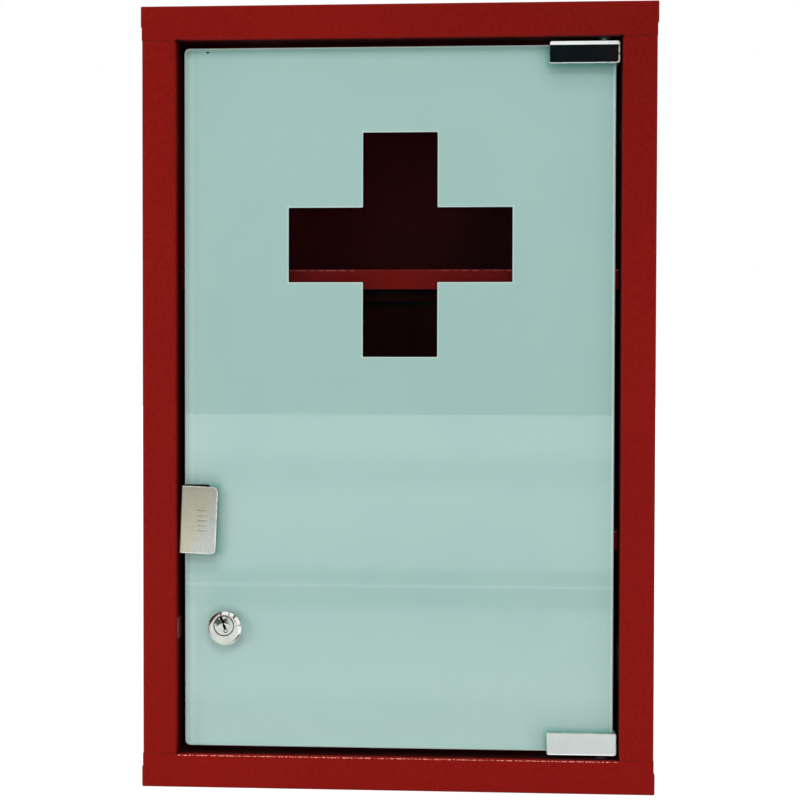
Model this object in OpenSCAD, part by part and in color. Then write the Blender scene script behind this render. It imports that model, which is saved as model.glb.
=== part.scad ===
// Lockable wall cabinet with a glass door, two shelves, a push latch and a cam lock.
// Origin: the middle of the four wall screw holes, on the wall plane.
// +X runs to the hinge side, +Y into the wall and +Z up, so the door faces -Y.

/* [Cabinet body] */
// Width over the side panels
body_w = 300; // [240:5:400]
// Height over the top and bottom panels
body_h = 460; // [400:5:600]
// Depth from the wall to the front face
body_d = 140; // [110:5:200]
// Thickness of the folded steel sheet
sheet = 0.8; // [0.6:0.1:1.2]
// Outer radius of every fold in the sheet
fold_r = 1.5; // [1.3:0.1:2.5]

/* [Front frame and lips] */
// Width of the face round the door opening
face_w = 20; // [18:1:30]
// Depth of the side panels' returns
side_return_d = 14; // [11:1:14]
// Depth of the top and bottom returns, which carry the pivots
rail_return_d = 16; // [14:1:20]
// Gap at the seams between the four faces
seam_gap = 0.2; // [0.1:0.05:0.4]
// How far the top and bottom panels lap over the side panels
lap_h = 12; // [8:1:16]
// Width of the lips behind which the back panel is welded
back_lip_w = 12; // [8:1:16]

/* [Wall holes] */
// Diameter of the wall screw holes
wall_hole_d = 7; // [5:0.5:9]
// Distance between the holes across the cabinet
wall_hole_dx = 200; // [120:5:210]
// Distance between the holes up the cabinet
wall_hole_dz = 360; // [200:5:370]

/* [Shelves] */
// Distance between the tops of the two shelves
shelf_pitch = 155; // [130:1:165]
// Distance of the shelves' front lips behind the front face
shelf_setback = 18; // [17:1:24]
// Height of the shelves' lips
shelf_lip_h = 12; // [10:1:16]
// Play between a shelf and the panels round it
shelf_gap = 0.1; // [0.05:0.05:0.3]
// Diameter of the blind rivets
rivet_d = 3.2; // [2.4:0.1:4]
// Distance of the rivets from the ends of a shelf's lip
rivet_inset = 18; // [12:1:30]

/* [Door glass] */
// Thickness of the glass
glass_t = 4; // [3:0.5:5]
// Distance of the glass behind the front face
glass_recess = 5.5; // [5:0.5:6.5]
// Gap beside the glass at its free edge
gap_lock_side = 4; // [3.5:0.1:6]
// Gap beside the glass at its hinge edge
gap_hinge_side = 3; // [2.5:0.1:5]
// Gap above and below the glass
gap_ends = 3.5; // [3.2:0.1:6]
// Corner radius of the glass
glass_corner_r = 3; // [1:0.5:8]
// Width of the ground arris round the glass
arris = 0.6; // [0.3:0.1:1]
// Thickness of the print film on the back of the glass
film_t = 0.2; // [0.1:0.05:0.4]

/* [Clear cross] */
// Span of the clear cross in the print
cross_span = 132; // [60:1:180]
// Width of the cross's arms
cross_arm_w = 44; // [20:1:60]
// Height of the cross's middle above the middle of the glass
cross_up = 91; // [0:1:110]
// Offset of the cross's middle towards the hinge side
cross_side = 1; // [-20:0.5:20]

/* [Hinges] */
// Distance of the pivot axis from the hinge edge of the glass
pivot_inset = 7; // [6:0.5:8]
// Diameter of the pivot pins
pin_d = 4; // [3:0.5:5]
// Radial clearance of the pins in their bushes
pin_clear = 0.05; // [0.02:0.01:0.1]
// Wall of the bushes round the pins
bush_wall = 0.9; // [0.7:0.1:1.2]
// How far the bushes' flanges stand out round their holes
bush_flange_w = 0.9; // [0.6:0.1:1.5]
// Thickness of the upper bush's flange
bush_flange_t = 0.5; // [0.5:0.1:1]
// Length of the bushes beyond the sheet
bush_len = 4.5; // [3:0.5:8]
// End play of the door above its lower bush
pivot_float = 0.3; // [0.2:0.05:0.5]
// Length of the hinge clamps along the glass
clamp_w = 40.5; // [36:0.5:60]
// Height of the hinge clamps
clamp_h = 13; // [11:0.5:20]
// Thickness of the clamps' front legs
clamp_front_t = 1.6; // [1.2:0.1:2]
// Thickness of the clamps' back legs, which hold the set screws
clamp_back_t = 2.6; // [2:0.1:3]
// Thickness of the clamps' webs over the glass
clamp_web_t = 1.4; // [1:0.1:1.6]
// Thickness of the clamps' end walls
clamp_end_t = 1.4; // [1:0.1:1.6]
// Thickness of the liners between clamps and glass
liner_t = 0.4; // [0.2:0.05:0.5]
// Diameter of the clamps' set screws
set_screw_d = 4; // [3:0.5:4]
// Distance between a clamp's set screws
set_screw_pitch = 16; // [12:1:18]

/* [Strike plate] */
// Width of the plate across the glass
strike_w = 22; // [18:1:30]
// Height of the plate
strike_h = 40; // [36:1:50]
// Thickness of the plate
strike_t = 1; // [0.8:0.1:1.2]
// How far the plate stands out past the free edge of the glass
strike_over = 2.6; // [2.4:0.1:2.8]
// Lean of the plate on the glass, in degrees
strike_tilt = 2.4; // [0:0.2:2.4]
// Thickness of the pads under the plate
pad_t = 0.8; // [0.5:0.1:1]
// Number of grip lines cut in the plate
grip_lines = 5; // [3:1:7]

/* [Lock] */
// Distance of the lock's axis from the free edge of the glass
lock_inset = 24; // [22:0.5:26]
// Height of the lock's axis above the lower edge of the glass
lock_up = 70.5; // [50:0.5:90]
// Diameter of the lock's rim on the glass
lock_rim_d = 20.5; // [19:0.5:24]
// Diameter of the lock's flat face
lock_face_d = 17; // [16.5:0.5:18]
// Height of the lock's head
lock_head_h = 3.2; // [2.6:0.1:3.6]
// Diameter of the threaded barrel
barrel_d = 16.4; // [16:0.2:17]
// Length of the barrel behind the glass
barrel_len = 8.5; // [8.5:0.1:9]
// Clearance of the barrel in the glass
barrel_clear = 0.4; // [0.2:0.1:0.8]
// Diameter of the plug's face
plug_face_d = 11.5; // [11:0.5:12]
// Diameter of the plug in the barrel
plug_d = 10; // [9:0.5:10]
// Distance of the plug's axis above the barrel's
plug_up = 2; // [1:0.25:2]
// Radial clearance of the plug
plug_clear = 0.06; // [0.03:0.01:0.1]
// Lean of the keyway, in degrees
key_lean = 16.7; // [0:0.1:30]
// Thickness of the gasket under the lock's head
gasket_t = 0.5; // [0.3:0.1:0.8]
// Thickness of the washer behind the glass
washer_t = 0.6; // [0.4:0.1:0.8]
// Size of the lock's nut across its flats
nut_af = 22; // [20:1:24]
// Thickness of the lock's nut
nut_t = 3.5; // [3:0.5:3.5]
// Reach of the cam from the plug's axis
cam_reach = 34; // [32:0.5:38]
// Width of the cam's tongue
cam_w = 9; // [7:0.5:11]
// Thickness of the cam
cam_t = 2; // [1.5:0.1:2.5]
// Forward crank of the cam's tongue
cam_crank = 3; // [2:0.25:3]
// Height of the keeper clip on the lock side's return
keeper_h = 12.5; // [12:0.5:20]
// Thickness of the keeper clip
keeper_t = 0.5; // [0.4:0.1:0.8]

/* [Push latch] */
// Distance of the latch's axis from the free edge of the glass
latch_inset = 8; // [7:0.5:10]
// Width of the latch housing
latch_w = 16; // [14:0.5:18]
// Height of the latch housing
latch_h = 14; // [13:0.5:16]
// Length of the latch housing
latch_len = 44; // [42:1:60]
// Diameter of the plunger's stem
plunger_d = 9; // [8:0.5:10]
// Radial clearance of the stem in the housing
plunger_clear = 0.08; // [0.04:0.01:0.1]
// Travel of the plunger when the door is pressed
press_travel = 2.5; // [1.5:0.25:2.5]
// Gap between the magnet and the strike plate
magnet_gap = 0.3; // [0.2:0.05:0.4]
// Diameter of the magnet
magnet_d = 8; // [7:0.5:8.5]
// Diameter of the latch's screws
latch_screw_d = 3; // [2.5:0.5:3.5]

/* [Hidden] */
$fn = 48;
cut = 1;             // how far a cutting tool runs past the face it cuts
press_gap = 0.02;    // radial play that keeps pressed and screwed pieces apart

// Sheet steel body
open_x = body_w / 2 - face_w;
open_z = body_h / 2 - face_w;
front_y = -body_d;
shelf_w = body_w - 2 * sheet - 2 * shelf_gap;
shelf_front_y = front_y + shelf_setback;
shelf_back_y = -2 * sheet - shelf_gap;
rivet_ys = [shelf_front_y + rivet_inset, shelf_back_y - rivet_inset];
rivet_zs = [for (side = [-1, 1]) side * shelf_pitch / 2 - shelf_lip_h / 2];
rivet_head_d = 2 * rivet_d;
rivet_head_h = rivet_d / 3;

// Door glass
glass_x0 = -open_x + gap_lock_side;
glass_x1 = open_x - gap_hinge_side;
glass_w = glass_x1 - glass_x0;
glass_cx = (glass_x0 + glass_x1) / 2;
glass_top = open_z - gap_ends;
glass_h = 2 * glass_top;
glass_front = front_y + glass_recess;
glass_back = glass_front + glass_t;
film_back = glass_back + film_t;

// Hinges
pivot_x = glass_x1 - pivot_inset;
pivot_y = glass_front + glass_t / 2;
bush_hole_r = pin_d / 2 + pin_clear + bush_wall + press_gap;
bush_snap = 0.25;
clamp_x1 = glass_x1 + liner_t + clamp_end_t;
clamp_x0 = clamp_x1 - clamp_w;
clamp_y0 = glass_front - liner_t - clamp_front_t;
clamp_y1 = film_back + liner_t + clamp_back_t;
clamp_top = glass_top + liner_t + clamp_web_t;
clamp_edge_r = 2.5;
clamp_end_r = 2.4;
clamp_corner_r = 1.4;
web_to_return = open_z - clamp_top;
set_screw_z = clamp_top - clamp_h / 2 - clamp_web_t / 2;
set_screw_x = (clamp_x0 + pivot_x - pin_d) / 2;

// Strike plate
strike_x0 = glass_x0 - strike_over;
strike_y0 = glass_front - pad_t - strike_t;
strike_y1 = film_back + pad_t + strike_t;
strike_fold_r = strike_t + 0.2;
strike_corner_r = 3;
grip_pitch = 3;
grip_len = 5;
grip_w = 0.6;
grip_depth = 0.15;
pad_inset = 0.4;
pad_show = 1.6;

// Latch; the strike plate sits a little below its axis
latch_x = glass_x0 + latch_inset;
latch_z = -shelf_pitch / 2 + latch_h / 2;
strike_z = latch_z - 0.8;
latch_y0 = shelf_front_y;
latch_y1 = latch_y0 + latch_len;
latch_ear_w = 8;
latch_ear_t = 2.2;
latch_ear_d = 12;
latch_ear_y = latch_y0 + latch_len / 2;
latch_edge_r = 1.2;
latch_screw_x = latch_w / 2 + latch_ear_w / 2;
magnet_t = 2.4;
magnet_proud = 0.2;
magnet_y = strike_y1 + magnet_gap;
cup_y0 = magnet_y + magnet_proud;
cup_d = magnet_d + 3;
cup_gap = 0.5;
cup_y1 = latch_y0 - press_travel - cup_gap;
latch_rear_wall = 5;
plunger_bore_y = latch_y1 - latch_rear_wall;
spring_room = 8;
plunger_y1 = plunger_bore_y - spring_room;
spring_play = 0.05;
spring_wire_d = 0.8;
spring_d = plunger_d - spring_wire_d - 0.6;
spring_turns = 6;

// Lock; heights run outwards from the front of the glass
lock_x = glass_x0 + lock_inset;
lock_z = -glass_top + lock_up;
lock_face_s = gasket_t + lock_head_h;
barrel_end_s = -glass_t - film_t - barrel_len;
plug_head_t = 2.1;
thread_pitch = 1.25;
thread_depth = 0.4;
cam_play = 0.15;
cam_s = barrel_end_s - cam_play;
tang_w = 5.6;
cam_hub_r = 7;
cam_bend = 12;
cam_screw_d = 3;
cam_washer_t = 0.6;

function unit(v) = v / norm(v);

// ---- Shared shapes ----

// Rectangle about the origin; r is one corner radius or four, anticlockwise from the lower left
module rounded_rect(size, r) {
    radii = is_list(r) ? r : [r, r, r, r];
    signs = [[-1, -1], [1, -1], [1, 1], [-1, 1]];
    difference() {
        square(size, center = true);
        for (i = [0:3])
            if (radii[i] > 0) {
                corner = [signs[i].x * size.x / 2, signs[i].y * size.y / 2];
                difference() {
                    translate(corner) square(2 * radii[i], center = true);
                    translate(corner - radii[i] * signs[i]) circle(radii[i]);
                }
            }
    }
}

// Rectangle about the origin with its four corners cut at 45 degrees
module chamfered_rect(size, c) {
    x = size.x / 2;
    y = size.y / 2;
    polygon([[-x + c, -y], [x - c, -y], [x, -y + c], [x, y - c],
             [x - c, y], [-x + c, y], [-x, y - c], [-x, -y + c]]);
}

// Extrudes a (y, z) outline along X, a (x, z) outline along Y; both about the origin
module along_x(length) rotate([90, 0, 90]) linear_extrude(length, center = true) children();
module along_y(length) rotate([90, 0, 0]) linear_extrude(length, center = true) children();
module along_z(length) linear_extrude(length, center = true) children();

// Turns a shape drawn up Z to point out of the front, towards -Y
module facing_front() rotate([90, 0, 0]) children();

// Section of a sheet folded at right angles. path holds its outer corners, with left turns only
module folded_section(path, t = sheet, r = fold_r) {
    last = len(path) - 1;
    for (i = [0:last - 1]) {
        d = unit(path[i + 1] - path[i]);
        n = [-d.y, d.x] * t;
        a = path[i] + d * (i > 0 ? r : 0);
        b = path[i + 1] - d * (i < last - 1 ? r : 0);
        polygon([a, b, b + n, a + n]);
    }
    for (i = [1:last - 1]) {
        d0 = unit(path[i] - path[i - 1]) * r;
        d1 = unit(path[i + 1] - path[i]) * r;
        middle = path[i] - d0 + d1;
        intersection() {
            difference() {
                translate(middle) circle(r);
                translate(middle) circle(r - t);
            }
            polygon([middle, middle + d0, middle + d0 - d1, middle - d1]);
        }
    }
}

// Block that hangs down from z = 0 with rounded upper and upright edges
module rounded_block(size, r) {
    intersection() {
        translate([0, 0, -size.z / 2]) along_z(size.z) rounded_rect([size.x, size.y], r);
        translate([0, 0, -size.z / 2]) along_y(size.y) rounded_rect([size.x, size.z], [0, 0, r, r]);
        translate([0, 0, -size.z / 2]) along_x(size.x) rounded_rect([size.y, size.z], [0, 0, r, r]);
    }
}

// Tray of folded sheet, open below, that hangs down from z = 0
module sheet_tray(size) {
    difference() {
        rounded_block(size, fold_r);
        translate([0, 0, -sheet])
            rounded_block([size.x - 2 * sheet, size.y - 2 * sheet, size.z + cut], fold_r - sheet);
    }
}

// Box between two corners
module box(low, high) translate(low) cube(high - low);

// Ring about Z, from z = 0 up
module ring(outer_d, inner_d, h) {
    difference() {
        cylinder(h = h, d = outer_d);
        translate([0, 0, -cut]) cylinder(h = h + 2 * cut, d = inner_d);
    }
}

// ---- Cabinet ----

module shelf_rivet_holes() {
    for (y = rivet_ys, z = rivet_zs)
        translate([0, y, z]) rotate([0, 90, 0])
            cylinder(h = body_w + 2 * cut, d = rivet_d + 4 * press_gap, center = true);
}

// Top panel; the bottom panel is its mirror image
module rail_panel() {
    rail_w = body_w + 2 * sheet;
    rail_d = body_d - sheet;
    fold_z = open_z + 2 * fold_r;
    difference() {
        translate([0, -sheet - rail_d / 2, body_h / 2]) sheet_tray([rail_w, rail_d, face_w]);
        // The laps and the rear lip are shallower than the face
        box([-body_w, front_y + sheet, open_z - cut], [body_w, cut, body_h / 2 - lap_h]);
        for (side = [0, 1]) mirror([side, 0, 0])
            box([body_w / 2, -body_d - cut, open_z - cut], [body_w, cut, body_h / 2 - lap_h]);
        // The fold into the return takes the place of the face's edge
        box([-open_x, front_y - cut, open_z - cut], [open_x, front_y + sheet + cut, fold_z]);
    }
    difference() {
        along_x(2 * open_x)
            folded_section([[front_y, fold_z], [front_y, open_z], [front_y + rail_return_d, open_z]]);
        translate([pivot_x, pivot_y, open_z - cut]) cylinder(h = sheet + 2 * cut, r = bush_hole_r);
    }
}

module top_panel() color([0.50, 0.08, 0.06]) rail_panel();

module bottom_panel() color([0.50, 0.08, 0.06]) mirror([0, 0, 1]) rail_panel();

// Left side panel; the right one is its mirror image
module side_panel() {
    x0 = -body_w / 2;
    difference() {
        union() {
            along_z(2 * (open_z - seam_gap))
                folded_section([[x0 + back_lip_w, -sheet], [x0, -sheet], [x0, front_y],
                                [x0 + face_w, front_y], [x0 + face_w, front_y + side_return_d]]);
            // The wall runs on inside the laps, and the rear lip up to the lips of the rail panels
            along_z(2 * (body_h / 2 - lap_h - seam_gap))
                folded_section([[x0 + back_lip_w, -sheet], [x0, -sheet], [x0, front_y + fold_r]]);
            box([x0, front_y + fold_r, -body_h / 2 + fold_r], [x0 + sheet, -sheet - fold_r, body_h / 2 - fold_r]);
            for (side = [0, 1]) mirror([0, 0, side])
                box([x0, front_y + sheet, open_z - seam_gap], [x0 + sheet, front_y + 2 * fold_r, body_h / 2 - lap_h - seam_gap]);
        }
        shelf_rivet_holes();
    }
}

module left_side_panel() color([0.52, 0.09, 0.06]) side_panel();

module right_side_panel() color([0.52, 0.09, 0.06]) mirror([1, 0, 0]) side_panel();

module back_panel() {
    color([0.48, 0.08, 0.06]) difference() {
        translate([0, -sheet / 2, 0]) along_y(sheet) square([body_w - 2 * fold_r, body_h - 2 * fold_r], center = true);
        for (x = [-1, 1] * wall_hole_dx / 2, z = [-1, 1] * wall_hole_dz / 2)
            translate([x, 0, z]) facing_front() cylinder(h = 4 * sheet, d = wall_hole_d, center = true);
    }
}

module shelf(top_z) {
    depth = shelf_back_y - shelf_front_y;
    difference() {
        translate([0, shelf_back_y - depth / 2, top_z]) sheet_tray([shelf_w, depth, shelf_lip_h]);
        shelf_rivet_holes();
    }
}

module upper_shelf() color([0.45, 0.07, 0.06]) shelf(shelf_pitch / 2);

module lower_shelf() {
    color([0.45, 0.07, 0.06]) difference() {
        shelf(-shelf_pitch / 2);
        at_latch_screws() translate([0, 0, -2 * sheet]) cylinder(h = 3 * sheet, d = latch_screw_d + 2 * press_gap);
    }
}

// Blind rivet on the outside of a panel at z = 0, its head up
module blind_rivet() {
    grip = 2 * sheet + shelf_gap;
    steps = 6;
    dome = [for (i = [0:steps]) let (a = 90 * i / steps)
        [rivet_head_d / 2 * cos(a), rivet_head_h * (0.25 + 0.75 * sin(a))]];
    rotate_extrude() polygon(concat(
        [[0, -grip - rivet_d], [rivet_d / 2, -grip - rivet_d], [rivet_d * 0.7, -grip - rivet_d * 0.7],
         [rivet_d * 0.7, -grip], [rivet_d / 2, -grip], [rivet_d / 2, 0], [rivet_head_d / 2, 0]],
        dome));
}

module shelf_rivets() {
    color([0.50, 0.08, 0.06]) for (side = [-1, 1], y = rivet_ys, z = rivet_zs)
        translate([side * body_w / 2, y, z]) rotate([0, side * 90, 0]) blind_rivet();
}

// Flanged bush in a return whose face is at z = 0; its snap end points up
module pivot_bush(flange_t) {
    neck_r = bush_hole_r - press_gap;
    snap_z = sheet + 2 * press_gap;
    rotate_extrude() polygon([
        [pin_d / 2 + pin_clear, -flange_t], [bush_hole_r + bush_flange_w - 0.2, -flange_t],
        [bush_hole_r + bush_flange_w, 0.2 - flange_t], [bush_hole_r + bush_flange_w, 0],
        [neck_r, 0], [neck_r, snap_z], [neck_r + bush_snap, snap_z],
        [neck_r, snap_z + 1.2], [neck_r - 0.2, sheet + bush_len], [pin_d / 2 + pin_clear, sheet + bush_len]]);
}

module top_pivot_bush() {
    color([0.10, 0.10, 0.11]) translate([pivot_x, pivot_y, open_z]) pivot_bush(bush_flange_t);
}

module bottom_pivot_bush() {
    color([0.10, 0.10, 0.11]) mirror([0, 0, 1])
        translate([pivot_x, pivot_y, open_z]) pivot_bush(web_to_return - pivot_float);
}

module lock_keeper() {
    play = 0.1;
    inner_leg = 8;
    x1 = -open_x + keeper_t;
    x0 = -open_x - sheet - keeper_t;
    y0 = front_y + fold_r + 1;
    y1 = front_y + side_return_d + play + keeper_t;
    color([0.62, 0.60, 0.58]) translate([0, 0, lock_z]) along_z(keeper_h)
        folded_section([[x1, y0], [x1, y1], [x0, y1], [x0, y1 - inner_leg]], keeper_t, keeper_t + 0.1);
}

// ---- Push latch ----

module at_latch_screws() {
    for (side = [-1, 1])
        translate([latch_x + side * latch_screw_x, latch_ear_y, -shelf_pitch / 2]) children();
}

module latch_housing() {
    bore_d = plunger_d + 2 * plunger_clear;
    color([0.80, 0.80, 0.78]) difference() {
        union() {
            translate([latch_x, (latch_y0 + latch_y1) / 2, latch_z + latch_h / 2])
                rounded_block([latch_w, latch_len, latch_h], latch_edge_r);
            translate([latch_x, latch_ear_y, -shelf_pitch / 2 + latch_ear_t / 2]) along_z(latch_ear_t)
                rounded_rect([latch_w + 2 * latch_ear_w, latch_ear_d], 3);
        }
        translate([latch_x, plunger_bore_y, latch_z]) facing_front()
            cylinder(h = plunger_bore_y - latch_y0 + cut, d = bore_d);
        at_latch_screws() translate([0, 0, -cut]) cylinder(h = latch_ear_t + 2 * cut, d = latch_screw_d + 0.2);
    }
}

module latch_screws() {
    head_r = latch_screw_d * 0.95;
    shank = latch_ear_t + sheet + 4;
    color([0.70, 0.70, 0.72]) at_latch_screws() translate([0, 0, latch_ear_t]) difference() {
        rotate_extrude() polygon([
            [0, -shank], [latch_screw_d / 2 - 0.8, -shank], [latch_screw_d / 2, -shank + 1.2],
            [latch_screw_d / 2, 0], [head_r, 0], [head_r, 0.8], [head_r * 0.8, 1.5], [head_r * 0.4, 1.8], [0, 1.8]]);
        for (a = [0, 90]) rotate([0, 0, a]) translate([0, 0, 1.8]) cube([head_r * 1.2, 0.7, 1.8], center = true);
    }
}

// Point on the spring's wire, t turns from its rear end; (u, v) run across the wire
function spring_point(t, length, u, v) =
    let (r = spring_d / 2 + u, rise = spring_wire_d / 2 + (length - spring_wire_d) * t / spring_turns)
    [r * cos(360 * t), r * sin(360 * t), rise + v];

module latch_spring() {
    length = spring_room - 2 * spring_play;
    sides = 6;
    rings = spring_turns * 16;
    points = [for (k = [0:rings], j = [0:sides - 1])
        spring_point(k * spring_turns / rings, length, spring_wire_d / 2 * cos(360 * j / sides),
                     spring_wire_d / 2 * sin(360 * j / sides))];
    walls = [for (k = [0:rings - 1], j = [0:sides - 1])
        [k * sides + j, (k + 1) * sides + j, (k + 1) * sides + (j + 1) % sides, k * sides + (j + 1) % sides]];
    ends = [[for (j = [0:sides - 1]) j], [for (j = [sides - 1:-1:0]) rings * sides + j]];
    color([0.55, 0.55, 0.57]) translate([latch_x, plunger_bore_y - spring_play, latch_z]) facing_front()
        polyhedron(points, concat(walls, ends));
}

module latch_plunger() {
    color([0.86, 0.86, 0.84]) difference() {
        union() {
            translate([latch_x, plunger_y1, latch_z]) facing_front()
                cylinder(h = plunger_y1 - cup_y1, d = plunger_d);
            translate([latch_x, cup_y1, latch_z]) facing_front() cylinder(h = cup_y1 - cup_y0, d = cup_d);
        }
        translate([latch_x, magnet_y + magnet_t, latch_z]) facing_front()
            cylinder(h = magnet_t + cut, d = magnet_d + 2 * press_gap);
    }
}

module latch_magnet() {
    color([0.35, 0.35, 0.37]) translate([latch_x, magnet_y + magnet_t, latch_z]) facing_front()
        cylinder(h = magnet_t, d = magnet_d);
}

// ---- Door ----

// Places a shape on the lock's axis at the front of the glass, pointing out of it
module at_lock() translate([lock_x, glass_front, lock_z]) facing_front() children();

module lock_hole(d) {
    at_lock() translate([0, 0, -glass_t - film_t - cut]) cylinder(h = glass_t + film_t + 2 * cut, d = d);
}

module door_glass() {
    color([0.75, 0.86, 0.83, 0.4]) difference() {
        translate([glass_cx, pivot_y, 0]) intersection() {
            along_y(glass_t) rounded_rect([glass_w, glass_h], glass_corner_r);
            along_z(glass_h) chamfered_rect([glass_w, glass_t], arris);
            along_x(glass_w) chamfered_rect([glass_t, glass_h], arris);
        }
        lock_hole(barrel_d + 2 * barrel_clear);
    }
}

module door_print_film() {
    color([0.65, 0.75, 0.72]) difference() {
        translate([glass_cx, glass_back + film_t / 2, 0]) along_y(film_t)
            rounded_rect([glass_w - 2 * arris, glass_h - 2 * arris], glass_corner_r - arris);
        translate([glass_cx + cross_side, glass_back, cross_up]) along_y(4 * film_t) {
            square([cross_span, cross_arm_w], center = true);
            square([cross_arm_w, cross_span], center = true);
        }
        lock_hole(barrel_d + 2 * barrel_clear);
    }
}

// Upper hinge clamp; the lower one is its mirror image
module hinge_clamp() {
    size = [clamp_w, clamp_y1 - clamp_y0, clamp_h];
    middle = [clamp_x0 + clamp_w / 2, (clamp_y0 + clamp_y1) / 2, clamp_top - clamp_h / 2];
    difference() {
        translate(middle) intersection() {
            along_x(size.x) rounded_rect([size.y, size.z], [0.4, 0.4, clamp_edge_r, clamp_edge_r]);
            along_z(size.z) rounded_rect([size.x, size.y], [0.6, clamp_end_r, clamp_end_r, 0.6]);
            along_y(size.y) rounded_rect([size.x, size.z], [clamp_corner_r, clamp_corner_r, 1, 0.6]);
        }
        // The slot for the glass and its liner
        box([clamp_x0 - cut, clamp_y0 + clamp_front_t, clamp_top - clamp_h - cut],
            [clamp_x1 - clamp_end_t, clamp_y1 - clamp_back_t, clamp_top - clamp_web_t]);
        translate([pivot_x, pivot_y, clamp_top - clamp_web_t - cut])
            cylinder(h = clamp_web_t + 2 * cut, d = pin_d + 2 * press_gap);
        at_set_screws() translate([0, 0, -cut])
            cylinder(h = clamp_back_t + 2 * cut, d = set_screw_d + 2 * press_gap);
    }
}

// Places a shape at the outer face of the upper clamp's back leg, pointing into the clamp
module at_set_screws() {
    for (side = [-1, 1])
        translate([set_screw_x + side * set_screw_pitch / 2, clamp_y1, set_screw_z]) facing_front() children();
}

module top_hinge_clamp() color([0.80, 0.80, 0.78]) hinge_clamp();

module bottom_hinge_clamp() color([0.80, 0.80, 0.78]) mirror([0, 0, 1]) hinge_clamp();

module pivot_pins() {
    z0 = clamp_top - clamp_web_t + press_gap;
    tip = 0.6;
    length = open_z + sheet + bush_len - tip - z0;
    color([0.70, 0.70, 0.72]) for (side = [0, 1]) mirror([0, 0, side])
        translate([pivot_x, pivot_y, z0]) {
            cylinder(h = length - tip, d = pin_d);
            translate([0, 0, length - tip]) cylinder(h = tip, d1 = pin_d, d2 = pin_d - 2 * tip);
        }
}

module clamp_liners() {
    trim = 0.5;
    color([0.12, 0.12, 0.12]) for (side = [0, 1]) mirror([0, 0, side]) difference() {
        box([clamp_x0 + trim, glass_front - liner_t, clamp_top - clamp_h + trim],
            [glass_x1 + liner_t, film_back + liner_t, glass_top + liner_t]);
        box([clamp_x0 - cut, glass_front, clamp_top - clamp_h - cut], [glass_x1, film_back, glass_top]);
    }
}

module clamp_set_screws() {
    socket_w = set_screw_d / 2;
    length = clamp_back_t - press_gap;
    color([0.25, 0.25, 0.27]) for (side = [0, 1]) mirror([0, 0, side])
        at_set_screws() difference() {
            cylinder(h = length, d = set_screw_d);
            translate([0, 0, -cut]) cylinder(h = cut + length / 2, d = socket_w / cos(30), $fn = 6);
        }
}

// Places a shape at the middle of the strike plate's height, leaning with it
module at_strike() translate([strike_x0, 0, strike_z]) rotate([0, strike_tilt, 0]) children();

module strike_plate() {
    color([0.74, 0.73, 0.68]) at_strike() difference() {
        intersection() {
            along_z(strike_h)
                folded_section([[strike_w, strike_y1], [0, strike_y1], [0, strike_y0], [strike_w, strike_y0]],
                               strike_t, strike_fold_r);
            translate([strike_w / 2, (strike_y0 + strike_y1) / 2, 0]) along_y(strike_y1 - strike_y0 + cut)
                rounded_rect([strike_w, strike_h], [0.5, strike_corner_r, strike_corner_r, 0.5]);
        }
        for (i = [0:grip_lines - 1])
            translate([strike_w * 0.6, strike_y0, (i - (grip_lines - 1) / 2) * grip_pitch])
                cube([grip_len, 2 * grip_depth, grip_w], center = true);
    }
}

// Foam pads at both sides of the glass; the front one shows above the plate
module strike_pads() {
    pad_w = 0.68 * strike_w;
    pad_h = 0.95 * strike_h;
    color([0.08, 0.08, 0.09]) for (face = [[glass_front - pad_t / 2, pad_show], [film_back + pad_t / 2, 0]])
        translate([glass_x0 + pad_inset + pad_w / 2, face[0], strike_z + face[1]])
            along_y(pad_t) rounded_rect([pad_w, pad_h], [0.3, 0.3, 2, 0.3]);
}

// ---- Lock ----

// Outline of a screw thread as steps between two heights, for a barrel turned about Z
function thread_outline(r, from, to) =
    let (turns = floor((to - from) / thread_pitch))
    [for (i = [0:turns - 1]) each [
        [r - thread_depth, from + i * thread_pitch], [r, from + (i + 0.35) * thread_pitch],
        [r, from + (i + 0.65) * thread_pitch], [r - thread_depth, from + (i + 1) * thread_pitch]]];

module lock_housing() {
    r = barrel_d / 2;
    rim_h = 0.7;
    thread_top = -glass_t - film_t;
    color([0.82, 0.82, 0.80]) at_lock() difference() {
        rotate_extrude() polygon(concat(
            [[0, barrel_end_s], [r - thread_depth, barrel_end_s]],
            thread_outline(r, barrel_end_s, thread_top),
            [[r - thread_depth, thread_top], [r, thread_top], [r, gasket_t], [lock_rim_d / 2 - 0.2, gasket_t],
             [lock_rim_d / 2, gasket_t + 0.2], [lock_rim_d / 2, gasket_t + rim_h],
             [lock_face_d / 2 + 0.2, lock_face_s - 0.2], [lock_face_d / 2 - 0.2, lock_face_s], [0, lock_face_s]]));
        translate([0, plug_up, barrel_end_s - cut])
            cylinder(h = lock_face_s - barrel_end_s + 2 * cut, r = plug_d / 2 + plug_clear);
        translate([0, plug_up, lock_face_s - plug_head_t - 0.1])
            cylinder(h = plug_head_t + cut, r = plug_face_d / 2 + plug_clear);
    }
}

module lock_gasket() {
    color([0.10, 0.10, 0.10]) at_lock() ring(lock_rim_d - 0.4, barrel_d + 2 * press_gap, gasket_t);
}

module lock_washer() {
    color([0.70, 0.70, 0.72]) at_lock() translate([0, 0, -glass_t - film_t - washer_t])
        ring(nut_af + 2, barrel_d + 2 * press_gap, washer_t);
}

module lock_nut() {
    color([0.72, 0.70, 0.62]) at_lock() translate([0, 0, -glass_t - film_t - washer_t - nut_t]) difference() {
        cylinder(h = nut_t, d = nut_af / cos(30), $fn = 6);
        translate([0, 0, -cut]) cylinder(h = nut_t + 2 * cut, d = barrel_d + 4 * press_gap);
    }
}

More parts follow.
